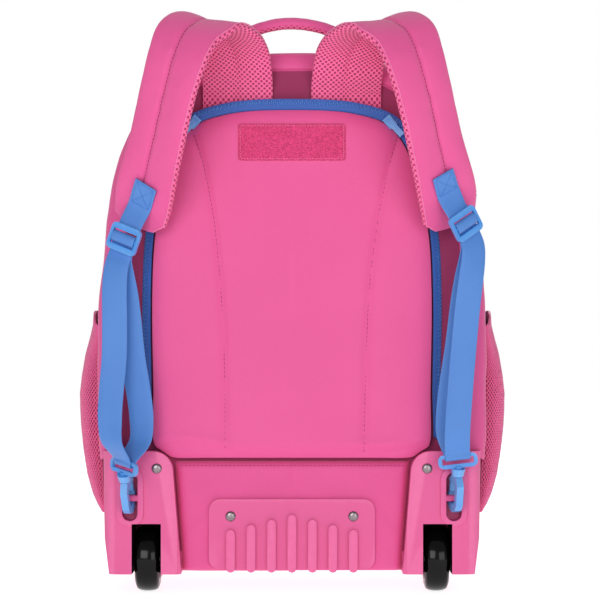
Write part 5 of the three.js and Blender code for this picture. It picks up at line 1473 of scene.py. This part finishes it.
# %% Form of a side pocket
PO_SPAN, PO_REAR, PO_FOOT, PO_HIGH, PO_BULGE, HEM_HIGH, HEM_DIP = 142, 28, 78, 203, 24, 10, 15
PO_ROWS = [  # share of the height, of the bulge and of the mouth's dip
    (0, 0.1, 0), (0.03, 0.33, 0), (0.08, 0.54, 0), (0.17, 0.75, 0), (0.3, 0.9, 0), (0.45, 0.98, 0),
    (0.58, 1, 0.05), (0.68, 0.9, 0.2), (0.78, 0.74, 0.5), (0.87, 0.54, 0.8), (0.95, 0.38, 1), (1, 0.36, 1),
]
PO_LEAST = 2.2
HEM_SHARE = HEM_HIGH / PO_HIGH
side_heights = np.linspace(60, 300, 40)
side_halves = [body_half_at(PO_REAR, z) for z in side_heights]


def pocket_point(up, around, less, extra=0.0):
    """Point of the pocket's wall: up is a share of its height, around goes from 0 to 1 along the mouth,
    less is how far inside the outermost surface it lies."""
    bulge = lookup(PO_ROWS, up) * PO_BULGE + PO_LEAST + extra - less
    dip = lookup(PO_ROWS, up, 2) * HEM_DIP
    z = PO_FOOT + up * PO_HIGH
    foot = float(np.interp(z - dip, side_heights, side_halves)) + 0.6
    angle = math.pi * around
    out = max(bulge, PO_LEAST) * math.sin(angle) ** 0.75
    y = PO_REAR + PO_SPAN / 2 - (PO_SPAN / 2 - less) * math.cos(angle)
    return np.array((foot + out, y, z - dip * math.cos(angle) ** 2))


def pocket_row(up, count, less, extra=0.0):
    return [pocket_point(up, a, less, extra) for a in np.linspace(0.002, 0.998, count)]


print("pocket's foremost point", [round(float(v), 1) for v in pocket_point(0.5, 0.5, 0)])


# %% Net, knit and hem of the side pockets
NET_ROWS, NET_COLUMNS = 72, 56


def net_diamonds(sign):
    """Points on every second place of a chequer, and the four-sided faces between them."""
    points, faces, index = [], [], {}
    places = [(r, c) for r in range(NET_ROWS + 1) for c in range(NET_COLUMNS + 1)]
    for r, c in (spot for spot in places if sum(spot) % 2 == 0):
        p = pocket_point(r / NET_ROWS * (1 - HEM_SHARE * 0.9), c / NET_COLUMNS, 1.0)
        p[0] += 0.35 * soft_noise(p * MM, 12, 51.0)
        index[r, c] = len(points)
        points.append(to_frame(p, sign))
    for r, c in (spot for spot in places if sum(spot) % 2):
        ring = [index[k] for k in ((r - 1, c), (r, c + 1), (r + 1, c), (r, c - 1)) if k in index]
        if len(ring) >= 3:
            faces.append(tuple(ring if sign > 0 else ring[::-1]))
    return points, faces


for name, side in SIDES.items():
    net = mesh_piece(f"side_pocket_{name}_net", *net_diamonds(side["sign"]), [], NET, "bag", "net_pink")
    apply_modifier(net, "WIREFRAME", thickness=1.7 * MM, use_even_offset=False, use_boundary=True)
    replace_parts(net, f"side_pocket_{name}")
    # The knit sheet's darker pink paints the shade behind the net.
    knit = [pocket_row(up, 120, 2.3) for up in np.linspace(0, 1 - HEM_SHARE * 0.5, 90)]
    knit = to_frame(knit, side["sign"])
    backing = grid_piece(f"side_pocket_{name}_backing", knit, SHADED_NET_BACKING, "net_pink")
    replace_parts(backing, f"side_pocket_{name}")
    hem = []
    for up in np.linspace(1 - HEM_SHARE, 1, 9):
        gathers = [(a, 0.3 + 0.5 * abs(math.sin(a * 95))) for a in np.linspace(0.002, 0.998, 160)]
        hem.append([pocket_point(up, a, less, 0.8) for a, less in gathers])
    hem += [pocket_row(up, 160, 2.8, 0.8) for up in np.linspace(1, 1 - HEM_SHARE, 9)]
    hem = to_frame(hem, side["sign"])
    band = grid_piece(f"pocket_hem_{name}_band", hem, ELASTIC, "net_pink", closed=(True, False))
    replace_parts(band, f"pocket_hem_{name}")
print("side pockets", len(net.data.polygons), "faces each")

# %% [markdown]
# ## Grab handle
#
# A foam rope in a sleeve of cloth, with spacer mesh on its palm side.

# %% Grab handle
GRAB_HALF, GRAB_BACK, GRAB_FOOT, GRAB_RISE, GRAB_ROUND = 66, 2.7, 514, 55, 12.5
# share of the half span, of the rise and of the way back, then of the width and the thickness
GRAB = [
    (1, 0, 1, 0.4, 1.1), (1, 0.22, 0.9, 0.45, 1.1), (0.98, 0.44, 0.25, 0.85, 1.05), (0.89, 0.63, 0, 1, 1),
    (0.71, 0.78, 0, 1, 1), (0.45, 0.91, 0, 1, 1), (0.15, 0.98, 0, 1, 1),
]
grab_at, grab_wide, grab_thick = [], [], []
for sign, table in ((-1, GRAB), (1, GRAB[::-1])):
    for out, up, back, wide, thick in table:
        grab_at.append((sign * out * GRAB_HALF, -back * GRAB_BACK, GRAB_FOOT + up * GRAB_RISE))
        grab_wide.append(wide * GRAB_ROUND)
        grab_thick.append(thick * GRAB_ROUND)
frames = band_frames(grab_at, [(0, 1, 0)] * len(grab_at), grab_wide, grab_thick, 12)
grab_angles = np.linspace(0, 2 * math.pi, 40, endpoint=False)
grab_rows = []
for c, a, o, w, t in zip(*frames):
    row = []
    for angle in grab_angles:
        p = c + a * math.cos(angle) * w / 2 + o * math.sin(angle) * t / 2
        row.append(p + unit(p - c) * (soft_noise(p * MM, 9, 61.0) * 0.35 - 0.3))
    grab_rows.append(row)


def grab_face(r, c):
    """Cloth on top, mesh on the palm side."""
    up = frames[2][min(r, len(frames[2]) - 1)][2]
    return 0 if math.sin(grab_angles[c]) * np.sign(up or 1) > -0.35 else 1


grab = grid_piece(
    "grab_handle_sleeve", to_frame(grab_rows, 1), [PINK_CLOTH, SPACER_MESH], "cloth_pink",
    closed=(False, True), caps=True, pick=grab_face,
)
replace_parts(grab, "grab_handle")
print("grab handle", len(grab.data.polygons), "faces")

# %% [markdown]
# ## Wheels
#
# Each wheel is turned, as on a lathe: a hard glossy tread, round at the shoulders, on a plain hub.

# %% Tyres and hubs
WHEEL_OUT, WHEEL_IN, WHEEL_UP = 144.4, 12, 33
SHOULDER = [(18.5, -10.0), (22, -11.6), (26, -12.3), (28.2, -11.4)]  # radius, then place along the axle
HUB_SIDE = [(3.5, -11.4), (7.6, -11.4), (8.4, -10.8), (9.4, -8.6), (16.0, -8.2), (17.4, -8.8), (17.9, -8.2)]


def other_side(profile):
    return [(r, -s) for r, s in reversed(profile)]


def turned_piece(name, profile, finish, slot_name, sign):
    """A ring turned round a wheel's axle from (radius, place along it) pairs, closed on itself."""
    x, y, z = place(sign * WHEEL_OUT, WHEEL_IN, WHEEL_UP)
    rows = []
    for a in np.arange(96) * 2 * math.pi / 96:
        rows.append([(x + s * MM, y + r * math.sin(a) * MM, z + r * math.cos(a) * MM) for r, s in profile])
    body = "wheel_left" if sign < 0 else "wheel_right"
    return grid_piece(name, rows, finish, slot_name, body, closed=(True, True))


crown = [math.pi * (k / 16 - 0.5) for k in range(17)]
tread = SHOULDER + [(28.4 + 4.5 * math.cos(a) ** 0.8, math.sin(a) * 11.2) for a in crown]
tread += other_side(SHOULDER) + [(18.4, 5), (18.4, -5)]
for name, sign in (("left", -1), ("right", 1)):
    tyre = turned_piece(f"tyre_{name}_tread", tread, GLOSS_BLACK, "tyre_black", sign)
    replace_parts(tyre, f"tyre_{name}")
    hub = turned_piece(f"hub_{name}_disc", HUB_SIDE + other_side(HUB_SIDE), HUB_BLACK, "hub_black", sign)
    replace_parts(hub, f"hub_{name}")
print("wheels turned", len(tyre.data.polygons), "faces a tyre")

# %% Black linings of the wheel wells, which also paint the shade inside them
WELL_HALF, WELL_FOOT, WELL_ROOF, WELL_BEVEL, WELL_MOUTH = 14.2, 20.6, 69.6, 3, -21.4


def well_shade_lining(name, sign):
    """A thin black arch between the wheel and its housing, closed at its front end.
    It stands for a black wheel bracket, and its black also paints the shade deep in the well.
    """
    middle, half, roof = sign * WHEEL_OUT, WELL_HALF, WELL_ROOF
    left = [(-half, WELL_FOOT), (-half, roof - WELL_BEVEL), (-half + WELL_BEVEL, roof)]
    outline = left + [(-x, z) for x, z in reversed(left)]
    rows = [[(middle + x, y, z) for x, z in outline] for y in (WELL_MOUTH, 0, 20, 46)]
    rows.append([(middle + x * 0.02, 45.2, 45) for x, z in outline])
    for y in (45.2, 20, 0, WELL_MOUTH):
        rows.append([(middle + x * 0.96, y, z - (0.6 if z > 30 else 0)) for x, z in outline])
    rows = [[tuple(place(*p)) for p in row] for row in rows]
    return grid_piece(f"wheel_well_shade_lining_{name}", rows, HUB_BLACK, "hub_black")


for name, sign in (("left", -1), ("right", 1)):
    lining = well_shade_lining(name, sign)
print("well linings", len(lining.data.polygons), "faces each")

# %% Domed rivets
RIVETS = [("kick_plate_rivet", 61, -15.3, 77), ("housing_rivet", 134, -22.2, 125)]
# radius and height
DOME = [(0.05, 2.05), (1.6, 2.0), (3, 1.8), (4.1, 1.35), (4.8, 0.75), (5.1, 0.25), (5.1, -0.1)]
for label, spread, y, z in RIVETS:
    for name, sign in (("left", -1), ("right", 1)):
        centre = place(sign * spread, y, z)
        rows = []
        for a in np.linspace(0, 2 * math.pi, 40, endpoint=False):
            section = [Vector((r * math.cos(a), -h, r * math.sin(a))) * MM for r, h in DOME]
            rows.append([tuple(centre + p) for p in section])
        rivet = grid_piece(f"{label}_{name}_dome", rows, RIVET_STEEL, "steel", closed=(True, False))
        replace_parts(rivet, f"{label}_{name}")
print("rivets", len(RIVETS) * 2)

# %% [markdown]
# ## Hard pieces that keep their solids
#
# Moulded parts are already the right shape. A bevel rounds every sharp edge a little, as a mould does.

# %% Rounded edges and finishes
PLAIN_EDGE, STEEP_EDGE = 30, 35  # the least angle of an edge that is rounded, in degrees
PAIRS = [  # piece, finish, width of the rounding in millimetres, angle
    ("wheel_housing", PINK_PLASTIC, 1.1, STEEP_EDGE), ("foot", PINK_PLASTIC, 2.0, PLAIN_EDGE),
    ("adjuster", BLUE_PLASTIC, 0.9, PLAIN_EDGE), ("hook_eye", BLUE_PLASTIC, 0.7, PLAIN_EDGE),
    ("snap_hook", BLUE_PLASTIC, 1.2, PLAIN_EDGE), ("hook_gate", BLUE_PLASTIC, 0.8, PLAIN_EDGE),
    ("panel_zip_slider", BLUE_PLASTIC, 0.5, PLAIN_EDGE), ("axle", RIVET_STEEL, 0.3, PLAIN_EDGE),
]
SINGLES = [
    ("main_zip_slider_lower", BLUE_PLASTIC, 0.5, PLAIN_EDGE),
    ("main_zip_slider_upper", BLUE_PLASTIC, 0.5, PLAIN_EDGE),
    ("kick_plate", PINK_PLASTIC, 1.3, STEEP_EDGE), ("front_pocket_slider", BLUE_PLASTIC, 0.5, PLAIN_EDGE),
    ("trolley_frame", TUBE_ALUMINIUM, 0.5, PLAIN_EDGE), ("trolley_tubes", TUBE_ALUMINIUM, 0.5, PLAIN_EDGE),
    ("trolley_grip", PINK_PLASTIC, 2.0, PLAIN_EDGE),
]
hard_pieces = [(f"{label}_{end}", *rest) for end in ("left", "right") for label, *rest in PAIRS] + SINGLES
for node, finish, width, angle in hard_pieces:
    soften_solid(node, finish, width, angle)
print("hard pieces finished", len(hard_pieces))
